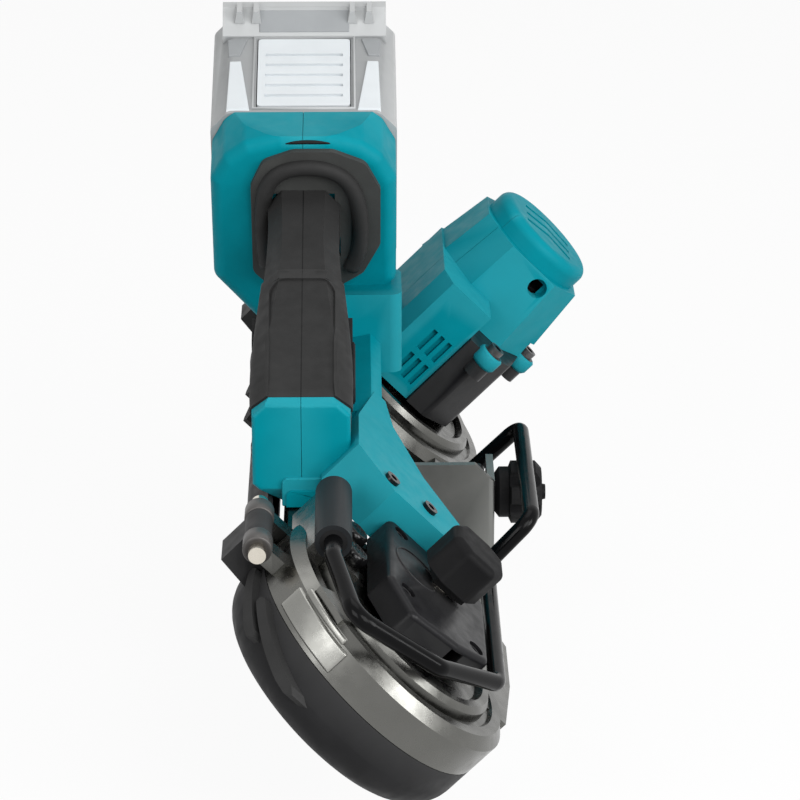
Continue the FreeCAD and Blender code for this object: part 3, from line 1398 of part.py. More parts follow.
bracket = cut("bracket_cut", box("bracket_block", "dim.stop_right - dim.stop_thick - 0.4 - 24", 22, 24,
                                  at(WORLD, 24, num("rear_arm_end") + 0.5, -18)), [
    box("bracket_seat", 120, 80, 60, at(SAW, -20, num("rear_arm_end") - 14, num("arm_height") + 0.02 - 60)),
    rod("bracket_bore", 3.08, 40, at(WORLD, 22, num("knob_along"), num("knob_up"), TO_X)),
])
bracket = softened("stop_bracket_round", bracket, 3.0, lambda e: along(e, AXIS_Y) and e.Length > 15
                   and e.CenterOfMass.z - ORIGIN.z > 4)
node(bracket, "stop_bracket")
knob = body("knob_turned", at(WORLD, 0, num("knob_along"), num("knob_up")))
knob_half = sketch(knob, "knob_half", "XY", "0 * dim.knob_radius")
polygon(knob_half, [
    ("34", "0"),
    ("34", "3"),
    ("dim.stop_right + 0.3", "3"),
    ("dim.stop_right + 0.3", "dim.knob_radius - 5"),
    ("dim.stop_right + 2.2", "dim.knob_radius - 2.5"),
    ("dim.stop_right + 6", "dim.knob_radius - 2.5"),
    ("dim.stop_right + 7", "dim.knob_radius"),
    ("dim.stop_right + 17", "dim.knob_radius"),
    ("dim.stop_right + 19.5", "dim.knob_radius - 3"),
    ("dim.stop_right + 19.5", "3.4"),
    ("dim.stop_right + 21.2", "3.0"),
    ("dim.stop_right + 21.2", "0"),
])
revolve(knob, knob_half, "H_Axis")
flutes = []
for step in range(6):
    a = math.radians(60 * step + 15)
    reach = num("knob_radius") + 1.6
    flutes.append(rod("flute_%d" % step, 3.8, 20, at(WORLD, num("stop_right") + 6.4,
                  num("knob_along") + reach * math.cos(a), num("knob_up") + reach * math.sin(a), TO_X)))
node(cut("stop_knob", knob, flutes), "stop_knob")

# Handle: a core that tapers like the grip, a leaning nose, the battery block, the lower bar with its arm,
# all split at the seam; a rubber saddle lies over the grip.
GRIP_STATIONS = [
    ("one", "2", "dim.grip_flat", "dim.grip_front_half", 6.0),
    ("two", "46", "dim.grip_flat - 0.4", "dim.grip_front_half - 0.9", 6.0),
    ("three", "72", "dim.grip_flat - 3", "dim.grip_neck_half + 1.6", 7.0),
    ("four", "102", "dim.grip_flat - 4", "dim.grip_neck_half", 7.5),
    ("five", "dim.grip_length - 2.7", "dim.grip_flat - 3.4", "dim.grip_neck_half + 0.4", 7.5),
]


def grip_section(owner, name, station, flat, half, bevel, inset, low):
    """Six-sided section of the grip, pulled in by inset."""
    sk = sketch(owner, name, "XZ", station)
    top = "-%s" % inset
    polygon(sk, [
        ("-(%s) + 0.4 * %s" % (flat, inset), top),
        ("%s - 0.4 * %s" % (flat, inset), top),
        ("%s - %s" % (half, inset), "-%.2f - 0.4 * %s" % (bevel, inset)),
        ("%s - %s" % (half, inset), low),
        ("-(%s) + %s" % (half, inset), low),
        ("-(%s) + %s" % (half, inset), "-%.2f - 0.4 * %s" % (bevel, inset)),
    ])
    return sk


FLUSH = "(0 * dim.rubber_thick)"
rubber = body("grip_shell", HAND)
loft(rubber, [
    grip_section(rubber, "outer_" + word, station, flat, half, bevel, FLUSH, "-dim.grip_side")
    for word, station, flat, half, bevel in GRIP_STATIONS
])
hollow = body("grip_hollow", HAND)
core = body("grip_core", HAND)
for owner, inset, low, tag in (
    (hollow, "dim.rubber_thick", "-dim.grip_side - 4", "hollow_"),
    (core, "(dim.rubber_thick + 0.05)", "-dim.grip_side - 4", "core_"),
):
    sections = []
    for word, station, flat, half, bevel in GRIP_STATIONS:
        if word == "one":
            station = "-1 + 0 * dim.grip_length"
        if word == "five":
            station = "dim.grip_length + 6"
        sections.append(grip_section(owner, tag + word, station, flat, half, bevel, inset, low))
    loft(owner, sections)

under = body("grip_under", HAND)
loft(under, [
    grip_section(under, "under_" + word, station, half, half, 0.3, FLUSH, "-dim.grip_depth")
    for word, station, flat, half, bevel in (
        ("two", "46", "", "dim.grip_front_half - 0.9", 0.0),
        ("three", "72", "", "dim.grip_neck_half + 1.6", 0.0),
        ("four", "102", "", "dim.grip_neck_half", 0.0),
        ("five", "dim.grip_length + 6", "", "dim.grip_neck_half + 0.4", 0.0),
    )
])
lid = box("under_lid", 120, 260, 60, at(HAND, -60, -60, -num("grip_side") - 0.15))
lower_grip = cut("lower_grip", under, [lid])
lower_grip = softened("lower_grip_round", lower_grip, 5.0, lambda e: e.Length > 20
                      and (HAND.inverse().multVec(e.CenterOfMass)).z < -num("grip_depth") + 0.5
                      and abs(HAND.inverse().multVec(e.CenterOfMass).x) > 5)

nose_side = body("nose_side", HAND)
profile = sketch(nose_side, "nose_profile", "YZ", "-dim.grip_front_half")
polygon(profile, [
    ("1.8", "0"),
    ("-1.6", "-1.8"),
    ("-dim.nose_lean", "-dim.nose_depth + 9"),
    ("-dim.nose_lean + 3", "-dim.nose_depth"),
    ("40", "-dim.nose_depth"),
    ("54", "-dim.grip_depth"),
    ("54", "-dim.grip_side - 0.15"),
    ("1.8", "-dim.grip_side - 0.15"),
])
pad(nose_side, profile, "2 * dim.grip_front_half")
nose_mask = body("nose_mask", HAND)
mask = sketch(nose_mask, "mask_section", "XZ", "80 + 0 * dim.nose_lean")
polygon(mask, [
    ("-dim.grip_flat", "0"),
    ("dim.grip_flat", "0"),
    ("dim.grip_front_half", "-6"),
    ("dim.grip_front_half", "-dim.nose_depth - 1"),
    ("-dim.grip_front_half + 12", "-dim.nose_depth - 1"),
    ("-dim.grip_front_half", "-dim.nose_depth + 10"),
    ("-dim.grip_front_half", "-6"),
])
pad(nose_mask, mask, "120")
nose = common("nose", nose_side, nose_mask)
nose = softened("nose_round", nose, 1.6, lambda e: HAND.inverse().multVec(e.CenterOfMass).y < -1.0)

block = body("battery_block", HAND)
block_plan = sketch(block, "block_plan", "XZ", "dim.grip_length + dim.block_thick")
polygon(block_plan, [
    ("-dim.block_half + 28", "dim.block_high"),
    ("dim.block_half - 28", "dim.block_high"),
    ("dim.block_half - 14", "dim.block_high - 4"),
    ("dim.block_half - 5.5", "dim.block_high - 11"),
    ("dim.block_half", "dim.block_high - 22"),
    ("dim.block_half", "-dim.block_low + 22"),
    ("dim.block_half - 16", "-dim.block_low"),
    ("-dim.block_half + 18", "-dim.block_low"),
    ("-dim.block_half", "-dim.block_low + 24"),
    ("-dim.block_half", "dim.block_high - 22"),
    ("-dim.block_half + 5.5", "dim.block_high - 11"),
    ("-dim.block_half + 14", "dim.block_high - 4"),
])
pad(block, block_plan, "dim.block_thick")
rounded(block, "6", lambda e: along(e, AXIS_Y))
brow = num("grip_length")
rounded(block, "5", lambda e: abs(e.BoundBox.YMin - brow) < 0.01 and abs(e.BoundBox.YMax - brow) < 0.01)
fall = sketch(block, "block_fall", "YZ", "-dim.block_half - 1")
polygon(fall, [
    ("dim.grip_length", "dim.block_high"),
    ("dim.grip_length + dim.block_thick + 1", "dim.block_high - dim.block_fall"),
    ("dim.grip_length + dim.block_thick + 1", "dim.block_high + 1"),
    ("dim.grip_length", "dim.block_high + 1"),
])
pocket(block, fall, "2 * dim.block_half + 2", back=True)
rail = sketch(block, "rail_neck", "XZ", "dim.grip_length + dim.block_thick + 4")
rect(rail, "-24", "-dim.rail_low", "24", "dim.rail_top")
pad(block, rail, "5")
rail_head = sketch(block, "rail_head", "XZ", "dim.grip_length + dim.block_thick + 7")
rect(rail_head, "-28", "-dim.rail_low", "28", "dim.rail_top")
pad(block, rail_head, "3")

bar = body("lower_bar", SAW)
bar_section = sketch(bar, "bar_section", "XZ", "92 + 0 * dim.bar_top")
polygon(bar_section, [
    ("-dim.bar_outer", "dim.spine_height + 0.2"),
    ("-dim.bar_inner", "dim.spine_height + 0.2"),
    ("-dim.bar_inner + 2", "dim.bar_top - 6"),
    ("-dim.bar_inner - 3", "dim.bar_top"),
    ("-dim.bar_outer + 5", "dim.bar_top"),
    ("-dim.bar_outer", "dim.bar_top - 5"),
])
pad(bar, bar_section, "152")
bar_crest = sketch(bar, "bar_crest", "XZ", "92 + 0 * dim.bar_top")
polygon(bar_crest, [
    ("-dim.bar_outer + 5", "dim.bar_top - 1"),
    ("-dim.bar_inner + 1.5", "dim.bar_top - 1"),
    ("-dim.bar_inner - 1.6", "dim.bar_top + 7"),
    ("-dim.bar_inner - 7.6", "dim.bar_top + 7"),
])
pad(bar, bar_crest, "112")
arm = body("front_arm_cover", SAW)
arm_plan = sketch(arm, "arm_plan", "XY", "dim.ridge_height + 0.3")
polygon(arm_plan, [
    ("-dim.bar_outer + 3", "-40 + 0 * dim.bar_top"),
    ("-dim.bar_outer + 3", "dim.barrel_rear + 18"),
    ("-dim.bar_outer + 22", "dim.box_rear + 1"),
    ("4", "dim.box_rear + 1"),
    ("12", "dim.box_rear + 10"),
    ("9", "dim.box_rear + 25"),
    ("-12", "dim.box_rear + 41"),
    ("-dim.bar_inner + 4", "-20"),
    ("-dim.bar_inner", "0"),
    ("-dim.bar_inner - 6", "0"),
])
pad(arm, arm_plan, "20")
rounded(arm, "4", lambda e: along(e, AXIS_Z) and e.CenterOfMass.x > -20)
crest = num("ridge_height") + 20.3
rounded(arm, "4", lambda e: abs(e.BoundBox.ZMin - crest) < 0.01 and abs(e.BoundBox.ZMax - crest) < 0.01)
# The riser stays under the block and clear of the motor.
RISER_AT = min(num("handle_along") + 127.5, REAR - 63.5)
riser = box("riser", 33, 32.5, 34, at(WORLD, -19, RISER_AT, 40))
riser = softened("riser_round", riser, 5.0, lambda e: along(e, AXIS_Z))
bridge = box("bridge", 24, 40, 22, at(SAW, -51, REAR - 38, num("ridge_height") + 1))
bridge = softened("bridge_round", bridge, 4.0, lambda e: e.CenterOfMass.z - ORIGIN.z > 60 or along(e, AXIS_Z))

whole = fuse("handle_whole", [nose, core, lower_grip, block, bar, arm, riser, bridge])
T_AT = num("trigger_along")
tools = [
    box("spine_room", "dim.spine_width + 0.6", "dim.wheel_spacing", 60,
        at(SAW, -num("frame_radius") + num("spine_inset") - 0.3, FRONT, num("spine_height") + 0.3 - 60)),
    rod("front_rim_room", "dim.frame_radius + 0.4", 60, at(SAW, 0, FRONT, num("rim_height") + 0.3 - 60)),
    rod("rear_rim_room", "dim.frame_radius + 0.4", 60, at(SAW, 0, REAR, num("rim_height") + 0.3 - 60)),
    rod("front_ridge_room", RIDGE_R + "+ 0.4", 60, at(SAW, 0, FRONT, num("ridge_height") + 0.25 - 60)),
    rod("rear_ridge_room", RIDGE_R + "+ 0.4", 60, at(SAW, 0, REAR, num("ridge_height") + 0.25 - 60)),
    box("trigger_way", 15, 22, 24, at(HAND, -7.5, T_AT - 11, -num("grip_depth") - 8)),
    box("lock_way", 60, 16.6, 8.6, at(HAND, -30, 43.7, -17.3)),
    box("switch_way", 18, 24, 15.5, at(HAND, -9, 68, -21)),
    box("board_way", 52, 18, 60, at(HAND, -26, num("grip_length") + 7, -48)),
    box("plug_way", 25, 30, 31, at(HAND, -12.5, num("grip_length") + 24, -30.5)),
]
hollowed = cut("handle_hollowed", whole, tools)
for word, x in (("left", -100.1), ("right", 0.1)):
    side_box = box("handle_side_" + word, 100, 400, 400, at(HAND, x, -150, -250))
    node(common("handle_" + word, hollowed, side_box), "handle_" + word)
LOCK_WAY = box("lock_way_rubber", 60, 16.6, 8.6, at(HAND, -30, 43.7, -17.3))
node(cut("grip_rubber", rubber, [hollow, LOCK_WAY]), "grip_rubber")

collar = body("collar_plate", HAND)
collar_plan = sketch(collar, "collar_plan", "XZ", "dim.grip_length - 0.1")
polygon(collar_plan, [
    ("-dim.grip_neck_half - 7", "2 + 0 * dim.grip_length"),
    ("-dim.grip_neck_half - 2", "14"),
    ("-4", "19"),
    ("12", "19"),
    ("25", "13"),
    ("31", "0"),
    ("31", "-28"),
    ("24", "-43"),
    ("dim.grip_neck_half", "-50"),
    ("-dim.grip_neck_half", "-50"),
    ("-dim.grip_neck_half - 7", "-42"),
])
pad(collar, collar_plan, "2.4")
rounded(collar, "6", lambda e: along(e, AXIS_Y))
collar_hole = body("collar_hole", HAND)
hole_plan = sketch(collar_hole, "collar_hole_plan", "XZ", "dim.grip_length + 2")
polygon(hole_plan, [
    ("-dim.grip_neck_half + 1.6", "-1.8"),
    ("-dim.grip_neck_half + 1.6", "-dim.grip_side"),
    ("-dim.grip_neck_half - 0.6", "-dim.grip_side"),
    ("-dim.grip_neck_half - 0.6", "-dim.grip_depth - 0.3"),
    ("dim.grip_neck_half + 0.6", "-dim.grip_depth - 0.3"),
    ("dim.grip_neck_half + 0.6", "-dim.grip_side"),
    ("dim.grip_neck_half - 1.6", "-dim.grip_side"),
    ("dim.grip_neck_half - 1.6", "-1.8"),
])
pad(collar_hole, hole_plan, "8")
node(cut("grip_collar", collar, [collar_hole]), "grip_collar")

trigger = body("trigger", HAND)
pull = sketch(trigger, "trigger_profile", "YZ", "-7 + 0 * dim.trigger_along")
polygon(pull, [
    ("dim.trigger_along - 10.4", "-dim.grip_depth + 4"),
    ("dim.trigger_along - 10.4", "-dim.grip_depth - 3"),
    ("dim.trigger_along - 8", "-dim.grip_depth - 12"),
    ("dim.trigger_along - 4", "-dim.grip_depth - 14"),
    ("dim.trigger_along + 1", "-dim.grip_depth - 10"),
    ("dim.trigger_along + 7", "-dim.grip_depth - 7"),
    ("dim.trigger_along + 10.4", "-dim.grip_depth - 2"),
    ("dim.trigger_along + 10.4", "-dim.grip_depth + 4"),
])
pad(trigger, pull, "14")
rounded(trigger, "2", lambda e: along(e, AXIS_X) and HAND.inverse().multVec(
    trigger.Placement.multVec(e.CenterOfMass)).z < -num("grip_depth") - 5)
node(trigger, "trigger")
lock = body("lock_button", HAND)
lock_plan = sketch(lock, "lock_plan", "YZ", "-dim.grip_front_half - 0.9")
rect(lock_plan, "44", "-17 + 0 * dim.grip_front_half", "60", "-9")
pad(lock, lock_plan, "2 * dim.grip_front_half + 1.8")
rounded(lock, "2.4", lambda e: along(e, AXIS_X))
lock_notch = sketch(lock, "lock_notch", "XZ", "61 + 0 * dim.grip_front_half")
rect(lock_notch, "-6", "-18", "6", "-15")
pocket(lock, lock_notch, "20", back=True)
node(lock, "lock_button")
switch = box("switch_unit", 17.6, 23.6, 15.1, at(HAND, -8.8, 68.2, -20.8))
node(switch, "switch_unit")
board = fuse("control_board", [
    box("board_tray", 51.6, 10, 59.6, at(HAND, -25.8, num("grip_length") + 7.2, -47.8)),
    box("board_block", 30, 6, 34, at(HAND, -15, num("grip_length") + 17, -36)),
])
node(board, "control_board")
plug_blades = [
    box("plug_blade_%d" % i, 1.2, 3, 14, at(HAND, x, num("grip_length") + num("block_thick") + 6.4, -22))
    for i, x in enumerate((-8.6, -0.6, 7.4))
]
plug = cut("terminal_block", box("plug_body", 24.8, "dim.block_thick + 6.9 - 25", 30.6,
                                 at(HAND, -12.4, num("grip_length") + 25, -30.3)), plug_blades)
node(plug, "terminal_block")

# Battery pack on the block's rail.
BACK_FACE = "dim.grip_length + dim.block_thick + 0.4"
pack = body("pack_case", HAND)
pack_plan = sketch(pack, "pack_plan", "XZ", BACK_FACE + "+ dim.pack_thick")
polygon(pack_plan, [
    ("-dim.pack_half + 7", "dim.pack_high"),
    ("dim.pack_half - 7", "dim.pack_high"),
    ("dim.pack_half", "dim.pack_high - 8"),
    ("dim.pack_half", "-dim.pack_low + 10"),
    ("dim.pack_half - 8", "-dim.pack_low"),
    ("-dim.pack_half + 8", "-dim.pack_low"),
    ("-dim.pack_half", "-dim.pack_low + 10"),
    ("-dim.pack_half", "dim.pack_high - 8"),
])
pad(pack, pack_plan, "dim.pack_thick")
rounded(pack, "4", lambda e: along(e, AXIS_Y))
crown = sketch(pack, "pack_crown", "YZ", "-dim.pack_half + 4")
polygon(crown, [
    (BACK_FACE + "+ dim.button_start + dim.button_long + 1.5", "dim.pack_high - 6"),
    (BACK_FACE + "+ dim.pack_thick", "dim.pack_high - 6"),
    (BACK_FACE + "+ dim.pack_thick", "dim.pack_high + dim.pack_crown"),
    (BACK_FACE + "+ dim.pack_thick - 4", "dim.pack_high + dim.pack_crown"),
    (BACK_FACE + "+ dim.button_start + dim.button_long + 1.5", "dim.pack_high + 1"),
])
pad(pack, crown, "2 * dim.pack_half - 8")
stern = num("grip_length") + num("block_thick") + 0.4 + num("pack_thick")
rounded(pack, "5", lambda e: abs(e.BoundBox.YMin - stern) < 0.01 and abs(e.BoundBox.YMax - stern) < 0.01)
neck_way = sketch(pack, "neck_way", "XY", "-dim.pack_low - 1")
rect(neck_way, "-24.4", BACK_FACE + "- 1", "24.4", BACK_FACE + "+ 5")
pocket(pack, neck_way, "dim.pack_low + dim.rail_top + 1.5", back=True)
head_way = sketch(pack, "head_way", "XY", "-dim.pack_low - 1")
rect(head_way, "-28.4", BACK_FACE + "+ 3.3", "28.4", BACK_FACE + "+ 7.2")
pocket(pack, head_way, "dim.pack_low + dim.rail_top + 1.5", back=True)
button_way = sketch(pack, "button_way", "XY", "dim.pack_high")
rect(button_way, "-19.4", BACK_FACE + "+ dim.button_start - 0.4", "19.4",
     BACK_FACE + "+ dim.button_start + dim.button_long + 0.4")
pocket(pack, button_way, "dim.button_thick + 4")
cell_room = sketch(pack, "cell_room", "XZ", BACK_FACE + "+ dim.pack_thick - 4")
rect(cell_room, "-34.2", "-dim.pack_low + 4", "34.2", "dim.pack_high - 14")
pocket(pack, cell_room, "39.4", back=True)
for step in range(4):
    x = (-29, -22, 18, 25)[step]
    ridge = sketch(pack, "top_ridge_%d" % step, "XZ", BACK_FACE + "+ dim.pack_thick - 3")
    polygon(ridge, [
        ("%d" % x, "dim.pack_high + dim.pack_crown - 4"),
        ("%d" % (x + 4), "dim.pack_high + dim.pack_crown - 4"),
        ("%d" % (x + 3), "dim.pack_high + dim.pack_crown + 2"),
        ("%d" % (x + 1), "dim.pack_high + dim.pack_crown + 2"),
    ])
    pad(pack, ridge, "7")
node(pack, "battery_case")
release = body("battery_button", HAND)
release_plan = sketch(release, "release_plan", "XY", "dim.pack_high + 0.4 - dim.button_thick")
rect(release_plan, "-19", BACK_FACE + "+ dim.button_start", "19",
     BACK_FACE + "+ dim.button_start + dim.button_long")
pad(release, release_plan, "dim.button_thick")
rounded(release, "1.5", lambda e: along(e, AXIS_Z))
for step in range(5):
    groove_plan = sketch(release, "release_groove_%d" % step, "XY", "dim.pack_high + 0.4")
    low = "+ dim.button_start + %d" % (6 + 7 * step)
    rect(groove_plan, "-16", BACK_FACE + low, "16", BACK_FACE + low + "+ 1.8")
    pocket(release, groove_plan, "1.2")
node(release, "battery_button")
cells = []
deep = num("grip_length") + num("block_thick") + 0.4 + num("pack_thick") - 4
for column in range(2):
    for level in range(3):
        cells.append(rod("cell_%d_%d" % (column, level), 9.1, 65, at(
            HAND, -32.5, deep - 10 - 19 * column, 13.8 - num("pack_low") + 19 * level, TO_X)))
node(group("battery_cells", cells), "battery_cells")

# Screws of the housing seen from the front.
node(group("handle_screws", [
    cap_screw("arm_screw", at(SAW, -30, -77, num("ridge_height") + 20.3), 3.2, 1.6, 1.7),
    cap_screw("arm_end_screw", at(SAW, -10, -72, num("ridge_height") + 20.3), 3.2, 1.6, 1.7),
]), "handle_screws")


def finish():
    """Check every object and write one file per part."""
    doc.recompute()
    os.makedirs("parts", exist_ok=True)
    for obj in doc.Objects:
        if "Invalid" in obj.State or "Error" in obj.State:
            raise RuntimeError("%s did not build" % obj.Label)
    for obj in NODES:
        if obj.Shape.isNull() or not obj.Shape.isValid():
            raise RuntimeError("%s has no valid shape" % obj.Label)
    for obj in NODES:
        obj.Shape.exportStep("parts/%s.step" % obj.Label)
        room = obj.Shape.BoundBox
        spans = (room.XMin, room.XMax, room.YMin, room.YMax, room.ZMin, room.ZMax)
        print(obj.Label, len(obj.Shape.Solids), "solids", "x %.1f..%.1f y %.1f..%.1f z %.1f..%.1f" % spans)


finish()
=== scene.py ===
"""Portable band saw: finishes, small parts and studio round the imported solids."""
import logging
import math
from dataclasses import dataclass, field
from enum import Enum
from typing import ClassVar

import bmesh
import bpy
from mathutils import Matrix, Vector
from mathutils.bvhtree import BVHTree


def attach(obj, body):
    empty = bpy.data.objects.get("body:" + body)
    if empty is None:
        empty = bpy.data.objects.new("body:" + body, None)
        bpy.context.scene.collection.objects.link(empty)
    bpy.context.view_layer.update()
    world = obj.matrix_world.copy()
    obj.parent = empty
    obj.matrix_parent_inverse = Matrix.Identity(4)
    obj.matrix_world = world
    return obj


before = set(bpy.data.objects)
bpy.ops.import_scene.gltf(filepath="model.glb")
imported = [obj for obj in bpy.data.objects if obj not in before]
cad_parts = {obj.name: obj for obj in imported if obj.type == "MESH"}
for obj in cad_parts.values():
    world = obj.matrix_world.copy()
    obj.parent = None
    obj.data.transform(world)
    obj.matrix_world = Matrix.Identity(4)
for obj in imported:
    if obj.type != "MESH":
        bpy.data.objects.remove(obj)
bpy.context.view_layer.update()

LOG = logging.getLogger("band_saw")

Colour = tuple[float, float, float]
Point = tuple[float, float, float]
Spot = tuple[float, float]
Span = tuple[float, float]
Profile = tuple[tuple[float, float], ...]
Tree = bpy.types.NodeTree
Socket = bpy.types.NodeSocket

MM = 0.001
HALF_ROOT = math.sqrt(0.5)
WHITE = (1.0, 1.0, 1.0, 1.0)

# Places of the saw's own frames, in millimetres
SAW_ORIGIN = Vector((-15.2, 0.0, 84.0))
HANDLE_START = (-25.7, -65.0, 78.0)
GRIP_LEAN = math.radians(20)
GRIP_SEAM = (SAW_ORIGIN.x + HANDLE_START[0]) * MM

# Softened edges, points round a slab's corner, and a direction that no bead runs along
SHARP_FROM = math.radians(28)
BEVEL_STEPS = 2
CORNER_POINTS = 4
OFF_BEAD = Vector((0.31, 0.17, 0.93))


def tone(red: int, green: int, blue: int) -> Colour:
    """Linear colour of a display colour.

    Args:
        red: Red from 0 to 255.
        green: Green from 0 to 255.
        blue: Blue from 0 to 255.

    Returns:
        The same colour as a shader takes it.
    """
    def linear(level: int) -> float:
        """One channel, display to linear."""
        share = level / 255
        return share / 12.92 if share <= 0.04045 else ((share + 0.055) / 1.055) ** 2.4

    return linear(red), linear(green), linear(blue)


def map_range(tree: Tree, value: Socket, result: Span, span: Span = (0.0, 1.0)) -> Socket:
    """Carry a value from one span to another.

    Args:
        tree: Nodes of a material or the world.
        value: The value's socket.
        result: What the lowest and highest value turn into.
        span: Lowest and highest value that count.

    Returns:
        The new value's socket.
    """
    node = tree.nodes.new("ShaderNodeMapRange")
    for name, limit in zip(("From Min", "From Max", "To Min", "To Max"), (*span, *result)):
        node.inputs[name].default_value = limit
    tree.links.new(value, node.inputs["Value"])
    return node.outputs["Result"]


def combine(tree: Tree, operation: str, *values: Socket | float) -> Socket:
    """Work out a value from sockets and plain numbers.

    Args:
        tree: Nodes of a material or the world.
        operation: The maths node's operation.
        values: Sockets or numbers, in the node's order.

    Returns:
        The result's socket.
    """
    node = tree.nodes.new("ShaderNodeMath")
    node.operation = operation
    for socket, value in zip(node.inputs, values):
        if isinstance(value, Socket):
            tree.links.new(value, socket)
        else:
            socket.default_value = value
    return node.outputs["Value"]


class Grain(Enum):
    """Stretch of a finish's fine detail along x, y and z."""

    EVEN = (1.0, 1.0, 1.0)
    DRAWN = (1.0, 0.03, 1.0)


class Pattern(Enum):
    """Kinds of fine relief."""

    NOISE = "noise"
    CELLS = "cells"


class Place(Enum):
    """The saw's own frames: origin, first axis and second axis, in millimetres."""

    SAW = ((0.0, 0.0, 0.0), (HALF_ROOT, 0.0, -HALF_ROOT), (0.0, 1.0, 0.0))
    HAND = (HANDLE_START, (1.0, 0.0, 0.0), (0.0, math.cos(GRIP_LEAN), math.sin(GRIP_LEAN)))

    def matrix(self) -> Matrix:
        """Matrix from the frame's millimetres to the row.

        Returns:
            The frame's matrix.
        """
        start, across, along = (Vector(value) for value in self.value)
        axes = Matrix((across, along, across.cross(along))).transposed()
        return Matrix.Translation((SAW_ORIGIN + start) * MM) @ axes.to_4x4() @ Matrix.Scale(MM, 4)


@dataclass(frozen=True)
class Finish:
    """A surface finish that builds its own node material."""

    name: str
    colour: Colour
    rough: float
    metallic: float = 0.0
    grain: Grain = Grain.EVEN
    pattern: Pattern = Pattern.NOISE
    grain_size: float = 0.7 * MM
    grain_depth: float = 0.02 * MM
    mottle: float = 0.12
    mottle_size: float = 14 * MM
    rough_spread: float = 0.08
    # Lighter colour on sharp convex edges; a painted highlight on some finishes
    edge: Colour | None = None
    edge_share: float = 0.35
    coat: float = 0.0
    specular: float = 0.5
    seam: float | None = None

    # The same for all finishes
    coat_rough: ClassVar[float] = 0.12
    seam_shade: ClassVar[float] = 0.25
    seam_half: ClassVar[float] = 0.22 * MM
    noise_span: ClassVar[Span] = (0.3, 0.7)
    bright_edge_span: ClassVar[Span] = (0.515, 0.57)
    finest_polish: ClassVar[float] = 0.03
    rough_patch: ClassVar[float] = 0.4
    mottle_detail: ClassVar[float] = 5.0
    rough_detail: ClassVar[float] = 4.0
    grain_detail: ClassVar[float] = 3.0
    grain_strength: ClassVar[float] = 0.6

    def material(self) -> bpy.types.Material:
        """Build the node material, or give the one built before.

        Returns:
            The finish's material.
        """
        label = self.name + "_finish"
        known = bpy.data.materials.get(label)
        if known:
            return known
        made = bpy.data.materials.new(label)
        made.use_nodes = True
        made.diffuse_color = (*self.colour, 1.0)
        tree = made.node_tree
        shader = tree.nodes["Principled BSDF"]
        shader.inputs["Metallic"].default_value = self.metallic
        shader.inputs["Coat Weight"].default_value = self.coat
        shader.inputs["Coat Roughness"].default_value = self.coat_rough
        shader.inputs["Specular IOR Level"].default_value = self.specular
        place = self._mapping(tree)
        colour = self._mottled(tree, place)
        if self.edge:
            colour = self._blended(tree, colour, self.edge, self._edges(tree))
        if self.seam is not None:
            dark = tuple(value * self.seam_shade for value in self.colour)
            colour = self._blended(tree, colour, dark, self._line(tree))
        tree.links.new(colour, shader.inputs["Base Color"])
        tree.links.new(self._roughness(tree, place), shader.inputs["Roughness"])
        tree.links.new(self._bump(tree, place), shader.inputs["Normal"])
        return made

    def _mapping(self, tree: Tree) -> Socket:
        """Object coordinates stretched along the grain.

        Args:
            tree: The material's nodes.

        Returns:
            The coordinates' socket.
        """
        source = tree.nodes.new("ShaderNodeTexCoord")
        mapping = tree.nodes.new("ShaderNodeMapping")
        mapping.inputs["Scale"].default_value = self.grain.value
        tree.links.new(source.outputs["Object"], mapping.inputs["Vector"])
        return mapping.outputs["Vector"]

    def _noise(self, tree: Tree, place: Socket, size: float, detail: float) -> Socket:
        """Noise with features of a real size.

        Args:
            tree: The material's nodes.
            place: Coordinates to read.
            size: Size of a feature in metres.
            detail: Octaves of finer noise.

        Returns:
            The noise's value.
        """
        noise = tree.nodes.new("ShaderNodeTexNoise")
        noise.inputs["Scale"].default_value = 1 / size
        noise.inputs["Detail"].default_value = detail
        tree.links.new(place, noise.inputs["Vector"])
        return noise.outputs["Fac"]

    def _mottled(self, tree: Tree, place: Socket) -> Socket:
        """Base colour with slight light and dark patches.

        Args:
            tree: The material's nodes.
            place: Coordinates to read.

        Returns:
            The colour's socket.
        """
        ramp = tree.nodes.new("ShaderNodeValToRGB")
        low, high = ramp.color_ramp.elements
        low.position, high.position = self.noise_span
        low.color = (*[c * (1 - self.mottle) for c in self.colour], 1)
        high.color = (*[min(1.0, c * (1 + self.mottle)) for c in self.colour], 1)
        tree.links.new(self._noise(tree, place, self.mottle_size, self.mottle_detail), ramp.inputs["Fac"])
        return ramp.outputs["Color"]

    def _blended(self, tree: Tree, colour: Socket, other: Colour, share: Socket) -> Socket:
        """Colour that turns to another where a mask is set.

        Args:
            tree: The material's nodes.
            colour: Colour outside the mask.
            other: Colour inside the mask.
            share: The mask.

        Returns:
            The colour's socket.
        """
        mix = tree.nodes.new("ShaderNodeMix")
        mix.data_type = "RGBA"
        first, second = (s for s in mix.inputs if s.type == "RGBA")
        second.default_value = (*other, 1)
        tree.links.new(colour, first)
        tree.links.new(share, mix.inputs["Factor"])
        return next(s for s in mix.outputs if s.type == "RGBA")

    def _edges(self, tree: Tree) -> Socket:
        """Mask of sharp convex edges, which take the lighter edge colour; on the cast silver, pad silver,
        zinc and teal finishes that colour is a painted highlight.
        """
        shape = tree.nodes.new("ShaderNodeNewGeometry")
        return map_range(tree, shape.outputs["Pointiness"], (0.0, self.edge_share), self.bright_edge_span)

    def _line(self, tree: Tree) -> Socket:
        """Mask of a parting line across x.

        Args:
            tree: The material's nodes.

        Returns:
            The mask's socket.
        """
        source = tree.nodes.new("ShaderNodeTexCoord")
        parts = tree.nodes.new("ShaderNodeSeparateXYZ")
        tree.links.new(source.outputs["Object"], parts.inputs["Vector"])
        return combine(tree, "COMPARE", parts.outputs["X"], self.seam, self.seam_half)

